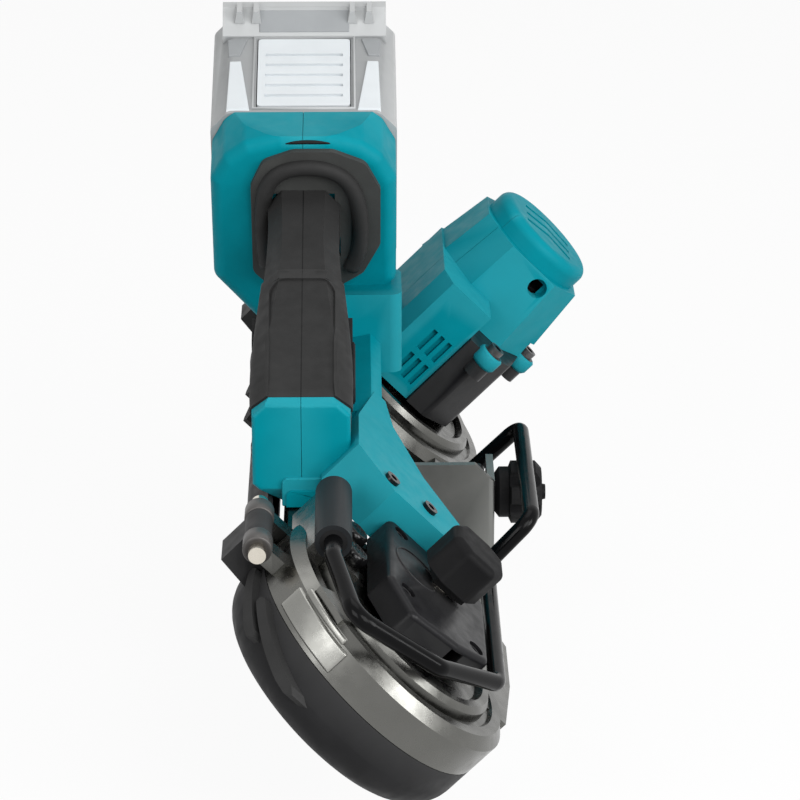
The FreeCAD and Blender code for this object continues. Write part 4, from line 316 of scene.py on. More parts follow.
    def _roughness(self, tree: Tree, place: Socket) -> Socket:
        """Roughness that varies a little over the surface.

        Args:
            tree: The material's nodes.
            place: Coordinates to read.

        Returns:
            The roughness's socket.
        """
        noise = self._noise(tree, place, self.mottle_size * self.rough_patch, self.rough_detail)
        low = max(self.finest_polish, self.rough - self.rough_spread)
        high = min(1.0, self.rough + self.rough_spread)
        return map_range(tree, noise, (low, high), self.noise_span)

    def _bump(self, tree: Tree, place: Socket) -> Socket:
        """Fine grain as a bump.

        Args:
            tree: The material's nodes.
            place: Coordinates to read.

        Returns:
            The normal's socket.
        """
        bump = tree.nodes.new("ShaderNodeBump")
        bump.inputs["Strength"].default_value = self.grain_strength
        bump.inputs["Distance"].default_value = self.grain_depth
        if self.pattern is Pattern.CELLS:
            cells = tree.nodes.new("ShaderNodeTexVoronoi")
            cells.inputs["Scale"].default_value = 1 / self.grain_size
            tree.links.new(place, cells.inputs["Vector"])
            relief = cells.outputs["Distance"]
        else:
            relief = self._noise(tree, place, self.grain_size, self.grain_detail)
        tree.links.new(relief, bump.inputs["Height"])
        return bump.outputs["Normal"]


# Cast silver's bright edge colour is a painted highlight on sharp edges
CAST_SILVER = Finish(
    "cast_silver", tone(92, 92, 89), 0.27, 1.0, grain_size=1.4 * MM, grain_depth=0.018 * MM, mottle=0.08,
    specular=0.2, edge=tone(190, 189, 184), edge_share=0.1,
)
# Lighter copy of cast silver for the rim pads: painted highlight, with a painted highlight on its edges too
LIT_PAD_SILVER = Finish(
    "lit_pad_silver", tone(128, 128, 124), 0.27, 1.0, grain_size=1.4 * MM, grain_depth=0.018 * MM, mottle=0.08,
    specular=0.2, edge=tone(200, 199, 194),
)
COVER_GREY = Finish(
    "cover_grey", tone(38, 38, 39), 0.52, specular=0.08, edge=tone(86, 86, 86), edge_share=0.25,
)
SOFT_RUBBER = Finish(
    "soft_rubber", tone(38, 38, 38), 0.62, grain_size=0.6 * MM, grain_depth=0.03 * MM, specular=0.15,
    edge=tone(70, 70, 70), edge_share=0.2,
)
GRIP_RUBBER = Finish(
    "grip_rubber", tone(34, 34, 34), 0.62, pattern=Pattern.CELLS, grain_size=0.8 * MM,
    grain_depth=0.03 * MM, specular=0.15, edge=tone(64, 64, 64), edge_share=0.2, seam=GRIP_SEAM,
)
COLLAR_RUBBER = Finish(
    "collar_rubber", tone(62, 63, 62), 0.55, grain_size=0.6 * MM, grain_depth=0.03 * MM, specular=0.15,
)
BRIGHT_STEEL = Finish(
    "bright_steel", tone(214, 208, 196), 0.22, 1.0, grain=Grain.DRAWN, grain_depth=0.008 * MM,
)
DARK_STEEL = Finish("dark_steel", tone(40, 40, 42), 0.36, 0.7, specular=0.2, edge=tone(140, 140, 140))
# The zinc's near-white edge colour is a painted highlight on the plate's bend
ZINC_SHEET = Finish(
    "zinc_sheet", tone(92, 94, 92), 0.36, 1.0, rough_spread=0.02, grain_size=3 * MM,
    grain_depth=0.003 * MM, mottle=0.04, mottle_size=4 * MM, edge=tone(235, 235, 230), edge_share=0.18,
)
BLADE_STEEL = Finish("blade_steel", tone(150, 152, 156), 0.28, 1.0, grain=Grain.DRAWN, mottle=0.2)
BARREL_GREY = Finish("barrel_grey", tone(38, 40, 42), 0.5, 0.2, grain=Grain.DRAWN, specular=0.1)
CASE_BLACK = Finish(
    "case_black", tone(22, 22, 24), 0.36, pattern=Pattern.CELLS, grain_size=0.7 * MM,
    grain_depth=0.03 * MM, specular=0.15, edge=tone(70, 70, 70),
)
PLASTIC_BLACK = Finish(
    "plastic_black", tone(20, 20, 21), 0.58, specular=0.08, edge=tone(70, 70, 70), edge_share=0.15,
)
HOOK_BLACK = Finish("hook_black", tone(8, 8, 9), 0.18, coat=0.02, specular=0.08, grain_depth=0.006 * MM)
BOLT_BLACK = Finish("bolt_black", tone(14, 14, 15), 0.2, coat=0.1, specular=0.2, grain_depth=0.006 * MM)
# Teal's lighter edge colour is a painted highlight on its edges
TEAL = Finish(
    "teal_plastic", tone(0, 132, 146), 0.5, mottle=0.05, grain_size=0.4 * MM, specular=0.07,
    grain_depth=0.008 * MM, edge=tone(80, 176, 186), edge_share=0.18,
)
PACK_GREY = Finish("pack_grey", tone(144, 146, 147), 0.5, mottle=0.05, edge=tone(220, 222, 222))
# Also paints the highlight on the battery's sloped sides
PACK_WHITE = Finish("pack_white", tone(208, 213, 216), 0.4, mottle=0.03)
# Paints the shade on the battery's sides; the status strip's own darker grey uses it too
PACK_DARK = Finish("pack_dark", tone(140, 143, 145), 0.5, mottle=0.05)
HINGE_GREY = Finish(
    "hinge_grey", tone(56, 54, 53), 0.4, 0.4, grain=Grain.DRAWN, specular=0.2, edge=tone(120, 118, 116),
)
COPPER_IRON = Finish("copper_iron", tone(150, 92, 56), 0.4, 0.8)
BOARD_DARK = Finish("board_dark", tone(22, 60, 50), 0.35)
CELL_WRAP = Finish("cell_wrap", tone(60, 110, 150), 0.35)

NODE_FINISH: dict[Finish, tuple[str, ...]] = {
    CAST_SILVER: ("main_frame", "drive_wheel", "idler_wheel"),
    COVER_GREY: ("wheel_cover",),
    SOFT_RUBBER: ("bumper_front", "bumper_rear", "drive_tyre", "idler_tyre"),
    COLLAR_RUBBER: ("grip_collar",),
    GRIP_RUBBER: ("grip_rubber",),
    BRIGHT_STEEL: (
        "hinge_pins", "drive_shaft", "drive_bearings", "idler_bearing", "idler_axle", "tension_cam",
        "tension_spring", "motor_bearings", "front_roller_left", "front_roller_right", "front_roller_back",
        "rear_roller_left", "rear_roller_right", "rear_roller_back",
    ),
    DARK_STEEL: (
        "drive_bolt", "idler_bolt", "idler_carriage", "tension_box_screws", "front_guide", "rear_guide",
        "drive_gear", "motor_pinion", "rotor", "gear_case_screws",
    ),
    BOLT_BLACK: ("barrel_bolts", "handle_screws"),
    ZINC_SHEET: ("stop_plate",),
    BLADE_STEEL: ("blade",),
    BARREL_GREY: ("hook_barrel",),
    CASE_BLACK: ("tension_box", "gear_case", "stop_bracket"),
    PLASTIC_BLACK: (
        "tension_lever", "fan", "hook_bush", "stop_knob", "trigger", "lock_button",
        "switch_unit", "terminal_block",
    ),
    HOOK_BLACK: ("hook",),
    TEAL: ("motor_housing_front", "motor_housing_rear", "handle_left", "handle_right"),
    PACK_GREY: ("battery_case",),
    PACK_WHITE: ("battery_button",),
    COPPER_IRON: ("stator",),
    BOARD_DARK: ("control_board",),
    CELL_WRAP: ("battery_cells",),
}


def soften(piece: bpy.types.Object, width: float) -> None:
    """Bevel a piece's sharp edges and smooth its shading.

    Args:
        piece: The object; its own mesh stays as it is.
        width: Width of the bevel in metres.
    """
    bevel = piece.modifiers.new("edges", "BEVEL")
    bevel.width = width
    bevel.segments = BEVEL_STEPS
    bevel.limit_method = "ANGLE"
    bevel.angle_limit = SHARP_FROM
    smooth = piece.modifiers.new("shading", "WEIGHTED_NORMAL")
    smooth.keep_sharp = True


def circle(centre: Vector, first: Vector, second: Vector, radius: float, sides: int) -> list[Vector]:
    """Points of a circle.

    Args:
        centre: The circle's centre.
        first: Direction of its first point.
        second: Direction of the point a quarter turn on.
        radius: The circle's radius.
        sides: How many points to give.

    Returns:
        The points in order.
    """
    turns = [math.tau * step / sides for step in range(sides)]
    return [centre + (first * math.cos(turn) + second * math.sin(turn)) * radius for turn in turns]


def smooth_path(points: list[Point], steps: int) -> list[Point]:
    """Points on a smooth curve through given points.

    Args:
        points: Points to pass through.
        steps: Pieces between each pair of points.

    Returns:
        The denser points.
    """
    knots = [Vector(point) for point in points]
    dense = []
    for index in range(len(knots) - 1):
        before = knots[max(index - 1, 0)]
        start, end = knots[index], knots[index + 1]
        after = knots[min(index + 2, len(knots) - 1)]
        for step in range(steps):
            share = step / steps
            dense.append(tuple(
                0.5 * (2 * start + (end - before) * share
                       + (2 * before - 5 * start + 4 * end - after) * share ** 2
                       + (3 * start - before - 3 * end + after) * share ** 3)
            ))
    dense.append(tuple(knots[-1]))
    return dense


def scaled(rings: Profile, radius: float, height: float = 0.0) -> Profile:
    """Rings given as shares of a radius, at full size and raised to a height."""
    return tuple((share * radius, rise + height) for share, rise in rings)


@dataclass
class Dressing:
    """Finishes and softened edges on the solids."""

    bevel: float = 0.5 * MM
    flat: float = math.radians(0.6)
    plain: tuple[str, ...] = ("tension_spring", "blade", "drive_gear", "motor_pinion", "hook")

    def dress(self) -> None:
        """Give every node its finish, and all but the plain ones softened edges."""
        for finish, names in NODE_FINISH.items():
            material = finish.material()
            for name in names:
                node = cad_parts[name]
                node.data.materials.clear()
                node.data.materials.append(material)
                if name not in self.plain:
                    self._soften(node)
                LOG.info("dressed %s in %s", name, finish.name)

    def _soften(self, node: bpy.types.Object) -> None:
        """Merge a node's flat facets and bevel its sharp edges.

        Args:
            node: The node's object.
        """
        merge = node.modifiers.new("flat", "DECIMATE")
        merge.decimate_type = "DISSOLVE"
        merge.angle_limit = self.flat
        soften(node, self.bevel)


@dataclass
class Moulding:
    """Mesh piece drawn in millimetres in one of the saw's frames."""

    name: str
    place: Place
    shape: bmesh.types.BMesh = field(default_factory=bmesh.new)

    def tube(self, rings: list[list[Vector]], closed: bool = False) -> "Moulding":
        """Add a skin over rings of points, with a cap on each end.

        Args:
            rings: Rings with the same number of points, in order.
            closed: Whether the last ring joins the first, without caps.

        Returns:
            The moulding itself.
        """
        made = [[self.shape.verts.new(point) for point in ring] for ring in rings]
        following = made[1:] + made[:1] if closed else made[1:]
        for low, high in zip(made, following):
            for index in range(len(low)):
                self.shape.faces.new((low[index - 1], low[index], high[index], high[index - 1]))
        if not closed:
            self.shape.faces.new(made[0])
            self.shape.faces.new(made[-1])
        return self

    def prism(self, loop: list[Point], rise: Point, shrink: float = 1.0) -> "Moulding":
        """Add a closed prism.

        Args:
            loop: Corners of the foot.
            rise: Way from the foot to the top.
            shrink: Size of the top as a share of the foot's.

        Returns:
            The moulding itself.
        """
        foot = [Vector(point) for point in loop]
        centre = sum(foot, Vector()) / len(foot)
        return self.tube([foot, [centre + (point - centre) * shrink + Vector(rise) for point in foot]])

    def slab(self, low: Point, high: Point, corner: float) -> "Moulding":
        """Add a slab whose rounded corners run along its first axis.

        Args:
            low: Lowest corner.
            high: Highest corner.
            corner: Radius of the corners.

        Returns:
            The moulding itself.
        """
        middle = [(low[axis] + high[axis]) / 2 for axis in (1, 2)]
        reach = [(high[axis] - low[axis]) / 2 - corner for axis in (1, 2)]
        loop = []
        for number in range(4):
            quarter = math.tau * (number + 0.5) / 4
            for step in range(CORNER_POINTS):
                angle = math.tau * (number + step / (CORNER_POINTS - 1)) / 4
                loop.append((
                    low[0],
                    middle[0] + math.copysign(reach[0], math.cos(quarter)) + corner * math.cos(angle),
                    middle[1] + math.copysign(reach[1], math.sin(quarter)) + corner * math.sin(angle),
                ))
        return self.prism(loop, (high[0] - low[0], 0.0, 0.0))

    def turned(self, centre: Point, axis: Point, profile: Profile, sides: int = 32) -> "Moulding":
        """Add a closed body of revolution.

        Args:
            centre: Point on the axis.
            axis: Direction of the axis.
            profile: Radius and height of each ring, from the foot to the top.
            sides: Corners round each ring.

        Returns:
            The moulding itself.
        """
        along = Vector(axis).normalized()
        first = along.orthogonal().normalized()
        second = along.cross(first)
        return self.tube([
            circle(Vector(centre) + along * height, first, second, radius, sides)
            for radius, height in profile
        ])

    def bead(self, path: list[Point], radius: float, closed: bool = False, sides: int = 10) -> "Moulding":
        """Add a round bead along a path.

        Args:
            path: Points that the bead runs through.
            radius: Radius of the bead.
            closed: Whether the path closes on itself.
            sides: Corners round the bead.

        Returns:
            The moulding itself.
        """
        points = [Vector(point) for point in path]
        count = len(points)
        rings = []
        for index, point in enumerate(points):
            after = points[(index + 1) % count] if closed or index + 1 < count else point
            before = points[index - 1] if closed or index else point
            along = (after - before).normalized()
            side = along.cross(OFF_BEAD).normalized()
            rings.append(circle(point, side, side.cross(along), radius, sides))
        return self.tube(rings, closed)

    def shell(self, outer: list[list[Vector]], inner: list[list[Vector]]) -> "Moulding":
        """Add a closed shell between two grids of points.

        Args:
            outer: Rows of points on the outside.
            inner: Rows of points on the inside.

        Returns:
            The moulding itself.
        """
        over, under = (
            [[self.shape.verts.new(point) for point in row] for row in grid] for grid in (outer, inner)
        )
        last, end = len(outer) - 1, len(outer[0]) - 1
        for grid in (over, under):
            for one, two in zip(grid, grid[1:]):
                for place in range(end):
                    self.shape.faces.new((one[place], one[place + 1], two[place + 1], two[place]))
        rim = [(0, place) for place in range(end)] + [(row, end) for row in range(last)]
        rim += [(last, end - place) for place in range(end)] + [(last - row, 0) for row in range(last)]
        for (row, place), (next_row, next_place) in zip(rim, rim[1:] + rim[:1]):
            self.shape.faces.new((
                over[row][place], over[next_row][next_place],
                under[next_row][next_place], under[row][place],
            ))
        return self

    def laid(self, finish: Finish, slot: str, body: str, bevel: float = 0.0) -> None:
        """Turn the mesh into a finished piece that rides on a body.

        Args:
            finish: The piece's finish.
            slot: Material slot of the record; not used.
            body: Body that the piece rides on.
            bevel: Width of its bevels in millimetres, or 0 for none.
        """
        bmesh.ops.recalc_face_normals(self.shape, faces=self.shape.faces)
        mesh = bpy.data.meshes.new(self.name)
        self.shape.to_mesh(mesh)
        self.shape.free()
        mesh.transform(self.place.matrix())
        mesh.polygons.foreach_set("use_smooth", [True] * len(mesh.polygons))
        mesh.materials.append(finish.material())
        piece = bpy.data.objects.new(self.name, mesh)
        bpy.context.scene.collection.objects.link(piece)
        if bevel:
            soften(piece, bevel * MM)
        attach(piece, body)
        LOG.info("built %s", self.name)


@dataclass
class ScrewWell:
    """Countersunk well with a screw head, its black rim painted shade in the recess; rings are shares of
    the radius, with heights.
    """

    name: str
    centre: Point
    axis: Point
    radius: float
    rim_rings: Profile = ((1.0, -0.6), (1.0, 0.12), (0.86, 0.2), (0.7, 0.1), (0.64, 0.02))
    head_rings: Profile = ((0.6, -0.4), (0.6, 0.1), (0.5, 0.22), (0.22, 0.24), (0.18, 0.06))
    head_sides: int = 24

    def build(self) -> None:
        """Turn the well's rim and the screw head in it."""
        # The black rim stands for the shade inside the recess: painted shade
        Moulding(self.name, Place.HAND).turned(
            self.centre, self.axis, scaled(self.rim_rings, self.radius)
        ).laid(PLASTIC_BLACK, "plastic_black", "base")
        Moulding(self.name + "_screw", Place.HAND).turned(
            self.centre, self.axis, scaled(self.head_rings, self.radius), self.head_sides
        ).laid(DARK_STEEL, "dark_steel", "base")


@dataclass
class NoseTrim:
    """Raised pad and screw well on the handle's nose."""

    face_top: Spot = (-1.6, -1.8)
    face_slope: float = 10.4 / 32.2
    pad_top: float = -29.5
    pad_foot: float = -40.5
    pad_left: float = -7.5
    pad_right: float = 18.2
    pad_thick: float = 1.1
    pad_sunk: float = 0.6
    pad_tilt: float = 0.3
    pad_bevel: float = 0.5
    left_corner: float = 1.5
    bends: tuple[Spot, ...] = ((8.6, 0.0), (13.5, -2.2))
    right_drop: float = 6.8
    step_down: float = 4.6
    step_in: float = 1.6
    step_thick: float = 1.7
    well_at: Point = (-18.5, -3.0, -22.5)
    well_axis: Point = (-1.0, -0.2, 0.1)
    well_radius: float = 3.2

    def build(self) -> None:
        """Lay the stepped pad in two layers, and the well."""
        self._layer("nose_pad_0", self.pad_top, self.pad_left, self.pad_thick)
        self._layer(
            "nose_pad_1", self.pad_top - self.step_down, self.pad_left + self.step_in,
            self.pad_thick * self.step_thick,
        )
        ScrewWell("nose_well", self.well_at, self.well_axis, self.well_radius).build()

    def _layer(self, name: str, top: float, left: float, thick: float) -> None:
        """Lay one layer of the pad.

        Args:
            name: The layer's name.
            top: Level of its upper edge.
            left: Place of its left edge.
            thick: How far it stands out of the nose's face.
        """
        loop = [
            (left, top - self.left_corner), (left + self.left_corner, top),
            *((across, top + change) for across, change in self.bends),
            (self.pad_right, top - self.right_drop), (self.pad_right, self.pad_foot), (left, self.pad_foot),
        ]
        Moulding(name, Place.HAND).prism(
            [(x, self._front(z) + self.pad_sunk, z) for x, z in loop],
            (0.0, -thick - self.pad_sunk, self.pad_tilt * thick),
        ).laid(TEAL, "teal", "base", self.pad_bevel)

    def _front(self, level: float) -> float:
        """How far back the nose's face lies at a level."""
        return self.face_top[0] + (level - self.face_top[1]) * self.face_slope


@dataclass
class SidePlate:
    """Raised plate on the grip's right flank."""

    low: Point = (16.4, 30.0, -29.5)
    high: Point = (20.2, 58.0, -20.0)
    corner: float = 1.5
    bevel: float = 0.4
    border_in: float = 1.2
    border_radius: float = 0.35

    def build(self) -> None:
        """Lay the plate with its raised border."""
        Moulding("side_plate", Place.HAND).slab(self.low, self.high, self.corner).laid(
            PLASTIC_BLACK, "plastic_black", "base", self.bevel)
        near, far = self.low[1] + self.border_in, self.high[1] - self.border_in
        foot, top = self.low[2] + self.border_in, self.high[2] - self.border_in
        path = [(near, foot), (near, top), (far, top), (far, foot)]
        Moulding("side_plate_border", Place.HAND).bead(
            [(self.high[0], y, z) for y, z in path], self.border_radius, closed=True
        ).laid(PLASTIC_BLACK, "plastic_black", "base")


@dataclass
class CollarTrim:
    """Soft roll round the grip's neck and the slot above it."""

    face: float = 127.0
    roll_radius: float = 3.4
    roll_sides: int = 14
    roll_steps: int = 4
    roll_route: tuple[Spot, ...] = (
        (-15.5, -38.0), (-16.6, -24.0), (-16.4, -8.0), (-14.2, 3.0), (-8.5, 9.5), (0.0, 11.8),
        (9.0, 10.8), (16.5, 6.0), (21.0, -3.0), (22.8, -16.0), (22.2, -30.0), (19.0, -40.0),
    )
    slot_at: Point = (2.0, 130.35, 21.6)
    slot_half: float = 9.0
    slot_rise: float = 0.75
    slot_bow: float = 0.5
    slot_deep: float = 0.9
    slot_steps: int = 20

    def build(self) -> None:
        """Lay the roll and the slot."""
        route = smooth_path([(x, self.face, z) for x, z in self.roll_route], self.roll_steps)
        Moulding("collar_roll", Place.HAND).bead(route, self.roll_radius, sides=self.roll_sides).laid(
            SOFT_RUBBER, "rubber_black", "base")
        across, along, level = self.slot_at
        lens = []
        for step in range(self.slot_steps):
            angle = math.tau * step / self.slot_steps
            reach = math.cos(angle)
            rise = self.slot_rise * math.sin(angle) - self.slot_bow * reach ** 2
            lens.append((across + self.slot_half * reach, along, level + rise))
        Moulding("block_slot", Place.HAND).prism(lens, (0.0, self.slot_deep, 0.0)).laid(
            PLASTIC_BLACK, "plastic_black", "base")


@dataclass
class GripBorder:
    """Raised soft border round the flat pad on top of the grip."""

    start: float = 2.3
    corner_at: float = 65.0
    pad_end: float = 71.0
    end: float = 76.5
    end_strip: float = 1.2
    pad_half: float = 12.3
    middle_gap: float = 0.05
    corner_gap: float = 0.06
    shoulder_in: float = 0.5
    side_low: float = -8.0
    lift: float = 0.8
    sunk: float = 0.5
    bevel: float = 0.25
    along_steps: int = 8
    across_steps: int = 5
    down_steps: int = 3
    cast_from: float = 60.0

    def build(self) -> None:
        """Lay one half of the border on each side."""
        surface = self._surface()
        for side, name in ((-1, "left"), (1, "right")):
            rows = [self._row(surface, side, along, half) for along, half in self._stations()]
            outer = [[point + way * self.lift for point, way in row] for row in rows]
            inner = [[point - way * self.sunk for point, way in row] for row in rows]
            Moulding("grip_border_" + name, Place.HAND).shell(outer, inner).laid(
                SOFT_RUBBER, "rubber_black", "base", self.bevel)

    def _surface(self) -> BVHTree:
        """Give the grip's surface in millimetres in the handle's frame.

        Returns:
            The tree to cast rays at.
        """
        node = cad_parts["grip_rubber"]
        back = Place.HAND.matrix().inverted() @ node.matrix_world
        points = [back @ vert.co for vert in node.data.vertices]
        return BVHTree.FromPolygons(points, [tuple(face.vertices) for face in node.data.polygons])

    def _stations(self) -> list[Spot]:
        """Give the places along the grip with the pad's half width there.

        Returns:
            Distance along the handle and half width of the pad.
        """
        straight = self.corner_at - self.start
        rounding = self.pad_end - self.corner_at
        shares = [step / self.along_steps for step in range(self.along_steps + 1)]
        found = [(self.start + straight * share, self.pad_half) for share in shares[:-1]]
        for share in shares:
            angle = math.tau / 4 * share
            found.append((
                self.corner_at + rounding * math.sin(angle),
                self.pad_half - rounding * (1 - math.cos(angle)),
            ))
        ends = (self.pad_end + self.corner_gap, self.end - self.end_strip, self.end)
        return found + [(along, self.middle_gap) for along in ends]

    def _row(self, surface: BVHTree, side: int, along: float, half: float) -> list[tuple[Vector, Vector]]:
        """Find the border's points across the grip at one place.

        Args:
            surface: The grip's surface.
            side: -1 for the left half, 1 for the right one.
            along: Distance along the handle.
            half: Half width of the pad there.

        Returns:
            Points on the surface with their outward directions.
        """
        beside, inward = side * self.cast_from, Vector((-side, 0, 0))
        flank = surface.ray_cast(Vector((beside, along, self.side_low)), inward)[0]
        reach = abs(flank.x) - self.shoulder_in
        row = []
        for step in range(self.across_steps + 1):
            across = side * (half + (reach - half) * step / self.across_steps)
            row.append(surface.ray_cast(Vector((across, along, self.cast_from)), Vector((0, 0, -1)))[:2])
        shoulder = row[-1][0].z
        for step in range(1, self.down_steps + 1):
            level = shoulder + (self.side_low - shoulder) * step / self.down_steps
            row.append(surface.ray_cast(Vector((beside, along, level)), inward)[:2])
        return row


@dataclass
class PackTrim:
    """Frame round the release button, status strip and raised side patches on the battery: lighter patches
    are painted highlight, darker ones painted shade.
    """

    face: float = 158.4
    top: float = 15.5
    button_start: float = 4.5
    button_long: float = 46.0
    frame_half: float = 20.6
    frame_near: float = 1.6
    frame_far: float = 1.2
    frame_radius: float = 0.8
    lit_start: float = 1.0
    lit_end: float = 16.0
    lit_near: Spot = (31.6, 21.8)
    lit_far: Spot = (30.8, 26.0)
    shade_start: float = 13.0
    shade_end: float = 1.0
    shade_near: Spot = (31.4, 26.4)
    shade_far: Spot = (32.0, 23.4)
    flank_sunk: float = 0.9
    flank_high: float = 1.7
    flank_shrink: float = 0.94
    flank_bevel: float = 0.3
    roll_from: float = 30.0
    roll_slope: float = 0.22
    strip_half: float = 19.0
    strip_foot: Spot = (1.7, 1.7)
    strip_crest: Spot = (9.4, 7.6)
    strip_rise: Point = (0.0, -0.36, 0.48)
    strip_shrink: float = 0.97
    strip_bevel: float = 0.2

    def build(self) -> None:
        """Lay the frame, the panels and the strip."""
        near = self.face + self.button_start - self.frame_near
        far = self.face + self.button_start + self.button_long + self.frame_far
        half = self.frame_half
        path = [(-half, near), (half, near), (half, far), (-half, far)]
        Moulding("button_frame", Place.HAND).bead(
            [(x, y, self.top) for x, y in path], self.frame_radius, closed=True
        ).laid(PACK_GREY, "pack_grey", "battery")
        for side, name in ((-1, "left"), (1, "right")):
            # Lighter patches paint highlight on the sloped sides
            self._flank(
                "pack_lit_panel_" + name, side, PACK_WHITE,
                (self.face + self.lit_start, *self.lit_near), (far - self.lit_end, *self.lit_far),
            )
            # Darker patches paint shade beside the lighter ones
            self._flank(
                "pack_shade_" + name, side, PACK_DARK,
                (far - self.shade_start, *self.shade_near), (far - self.shade_end, *self.shade_far),
            )
        half = self.strip_half
        foot = (far + self.strip_foot[0], self.top + self.strip_foot[1])
        crest = (far + self.strip_crest[0], self.top + self.strip_crest[1])
        Moulding("status_strip", Place.HAND).prism(
            [(-half, *foot), (half, *foot), (half, *crest), (-half, *crest)],
            self.strip_rise, self.strip_shrink,
        ).laid(PACK_DARK, "pack_grey", "battery", self.strip_bevel)

    def _flank(self, name: str, side: int, finish: Finish, near: Point, far: Point) -> None:
        """Lay a raised patch beside the button, with its outer edge rolled down; in the lighter finish it
        is painted highlight, in the darker one painted shade.

        Args:
            name: The patch's name.
            side: -1 for the left side, 1 for the right one.
            finish: The patch's finish, lighter for painted highlight, darker for painted shade.
            near: Its near end along the handle, with the outer and the inner edge there.
            far: Its far end in the same way.
        """
        loop = [(near[1], near[0]), (near[2], near[0]), (far[2], far[0]), (far[1], far[0])]
        foot = self.top - self.flank_sunk
        Moulding(name, Place.HAND).prism(
            [(side * x, y, foot - self.roll_slope * max(0.0, x - self.roll_from)) for x, y in loop],
            (0.0, 0.0, self.flank_high), self.flank_shrink,
        ).laid(finish, "pack_white", "battery", self.flank_bevel)


@dataclass
class BoxTrim:
    """Raised ring on the tension box's lid."""

    centre: Spot = (-9.0, -112.0)
    top: float = 33.0
    radius: float = 10.5
    bead_radius: float = 0.45
    gap_half: float = math.radians(30)
    steps: int = 40

    def build(self) -> None:
        """Lay the ring with its gap."""
        path = []
        for step in range(self.steps + 1):
            angle = self.gap_half + (math.tau - 2 * self.gap_half) * step / self.steps
            path.append((
                self.centre[0] + self.radius * math.cos(angle),
                self.centre[1] + self.radius * math.sin(angle),
                self.top,
            ))
        Moulding("lid_ring", Place.SAW).bead(path, self.bead_radius).laid(CASE_BLACK, "case_black", "base")


@dataclass
class MotorTrim:
    """Teal lugs of the motor housing over the gear case's screw bosses."""

    bosses: tuple[Spot, ...] = ((13.0, 98.5), (35.0, 138.0))
    top: float = 62.0
    long: float = 7.0
    radius: float = 5.8
    end_share: float = 0.86
    foot_high: float = 1.4
    shoulder_drop: float = 0.8
    end_drop: float = 0.05
    hole_radius: float = 4.0
    hole_taper: float = 0.1
    hole_drop: float = 0.4

    def build(self) -> None:
        """Turn one lug for each boss."""
        small = self.radius * self.end_share
        end = self.long - self.end_drop
        profile = (
            (small, 0.0), (self.radius, self.foot_high), (self.radius, self.long - self.shoulder_drop),
            (small, end), (self.hole_radius, end),
            (self.hole_radius - self.hole_taper, self.long - self.hole_drop),
        )
        for number, (across, along) in enumerate(self.bosses):
            Moulding("motor_lug_%d" % number, Place.SAW).turned(
                (across, along, self.top - self.long), (0, 0, 1), profile
            ).laid(TEAL, "teal", "base")


@dataclass
class HingeSleeves:
    """Dark sleeves on the frame's hinge knuckles."""

    across: float = -63.5
    level: float = 6.0
    wheels: tuple[float, ...] = (-126.0, 126.0)
    starts: tuple[float, ...] = (-11.7, 15.2)
    long: float = 8.4
    radius: float = 5.45
    wall: float = 1.3
    chamfer: float = 0.3
    overlap: float = 0.5

    def build(self) -> None:
        """Turn one sleeve for each knuckle."""
        inner, end = self.radius - self.wall, self.radius - self.chamfer
        profile = (
            (inner, -self.overlap), (end, -self.overlap), (self.radius, 0.0),
            (self.radius, self.long - self.chamfer), (end, self.long), (inner, self.long),
        )
        for wheel in self.wheels:
            for start in self.starts:
                Moulding("hinge_sleeve_%d" % (wheel + start), Place.SAW).turned(
                    (self.across, wheel + start, self.level), (0, 1, 0), profile
                ).laid(HINGE_GREY, "dark_steel", "base")


@dataclass(frozen=True)
class CastPad:
    """Reach of one cast pad: angles in degrees, levels and outer radius."""

    name: str
    first: float
    last: float
    low: float
    high: float
    radius: float


@dataclass
class RimPad:
    """Raised cast pads on the front housing's side wall, in a lighter silver that paints their highlight.
    """

    wheel: float = -126.0
    foot: float = 53.9
    slope: float = 0.8
    bevel: float = 0.4
    steps: int = 24
    pads: tuple[CastPad, ...] = (
        CastPad("rim_pad_low", first=-150.0, last=-116.0, low=1.5, high=12.2, radius=55.2),
        CastPad("rim_pad_high", first=-146.0, last=-120.0, low=12.2, high=15.6, radius=54.9),
    )

    def build(self) -> None:
        """Raise each pad between its angles and its levels."""
        for pad in self.pads:
            section = (
                (self.foot, pad.low), (pad.radius, pad.low + self.slope),
                (pad.radius, pad.high - self.slope), (self.foot, pad.high),
            )
            rings = []
            for step in range(self.steps + 1):
                angle = math.radians(pad.first + (pad.last - pad.first) * step / self.steps)
                rings.append([
                    Vector((reach * math.cos(angle), self.wheel + reach * math.sin(angle), level))
                    for reach, level in section
                ])
            # The pads take the lighter copy of cast silver, a painted highlight
            Moulding(pad.name, Place.SAW).tube(rings).laid(LIT_PAD_SILVER, "frame_silver", "base", self.bevel)


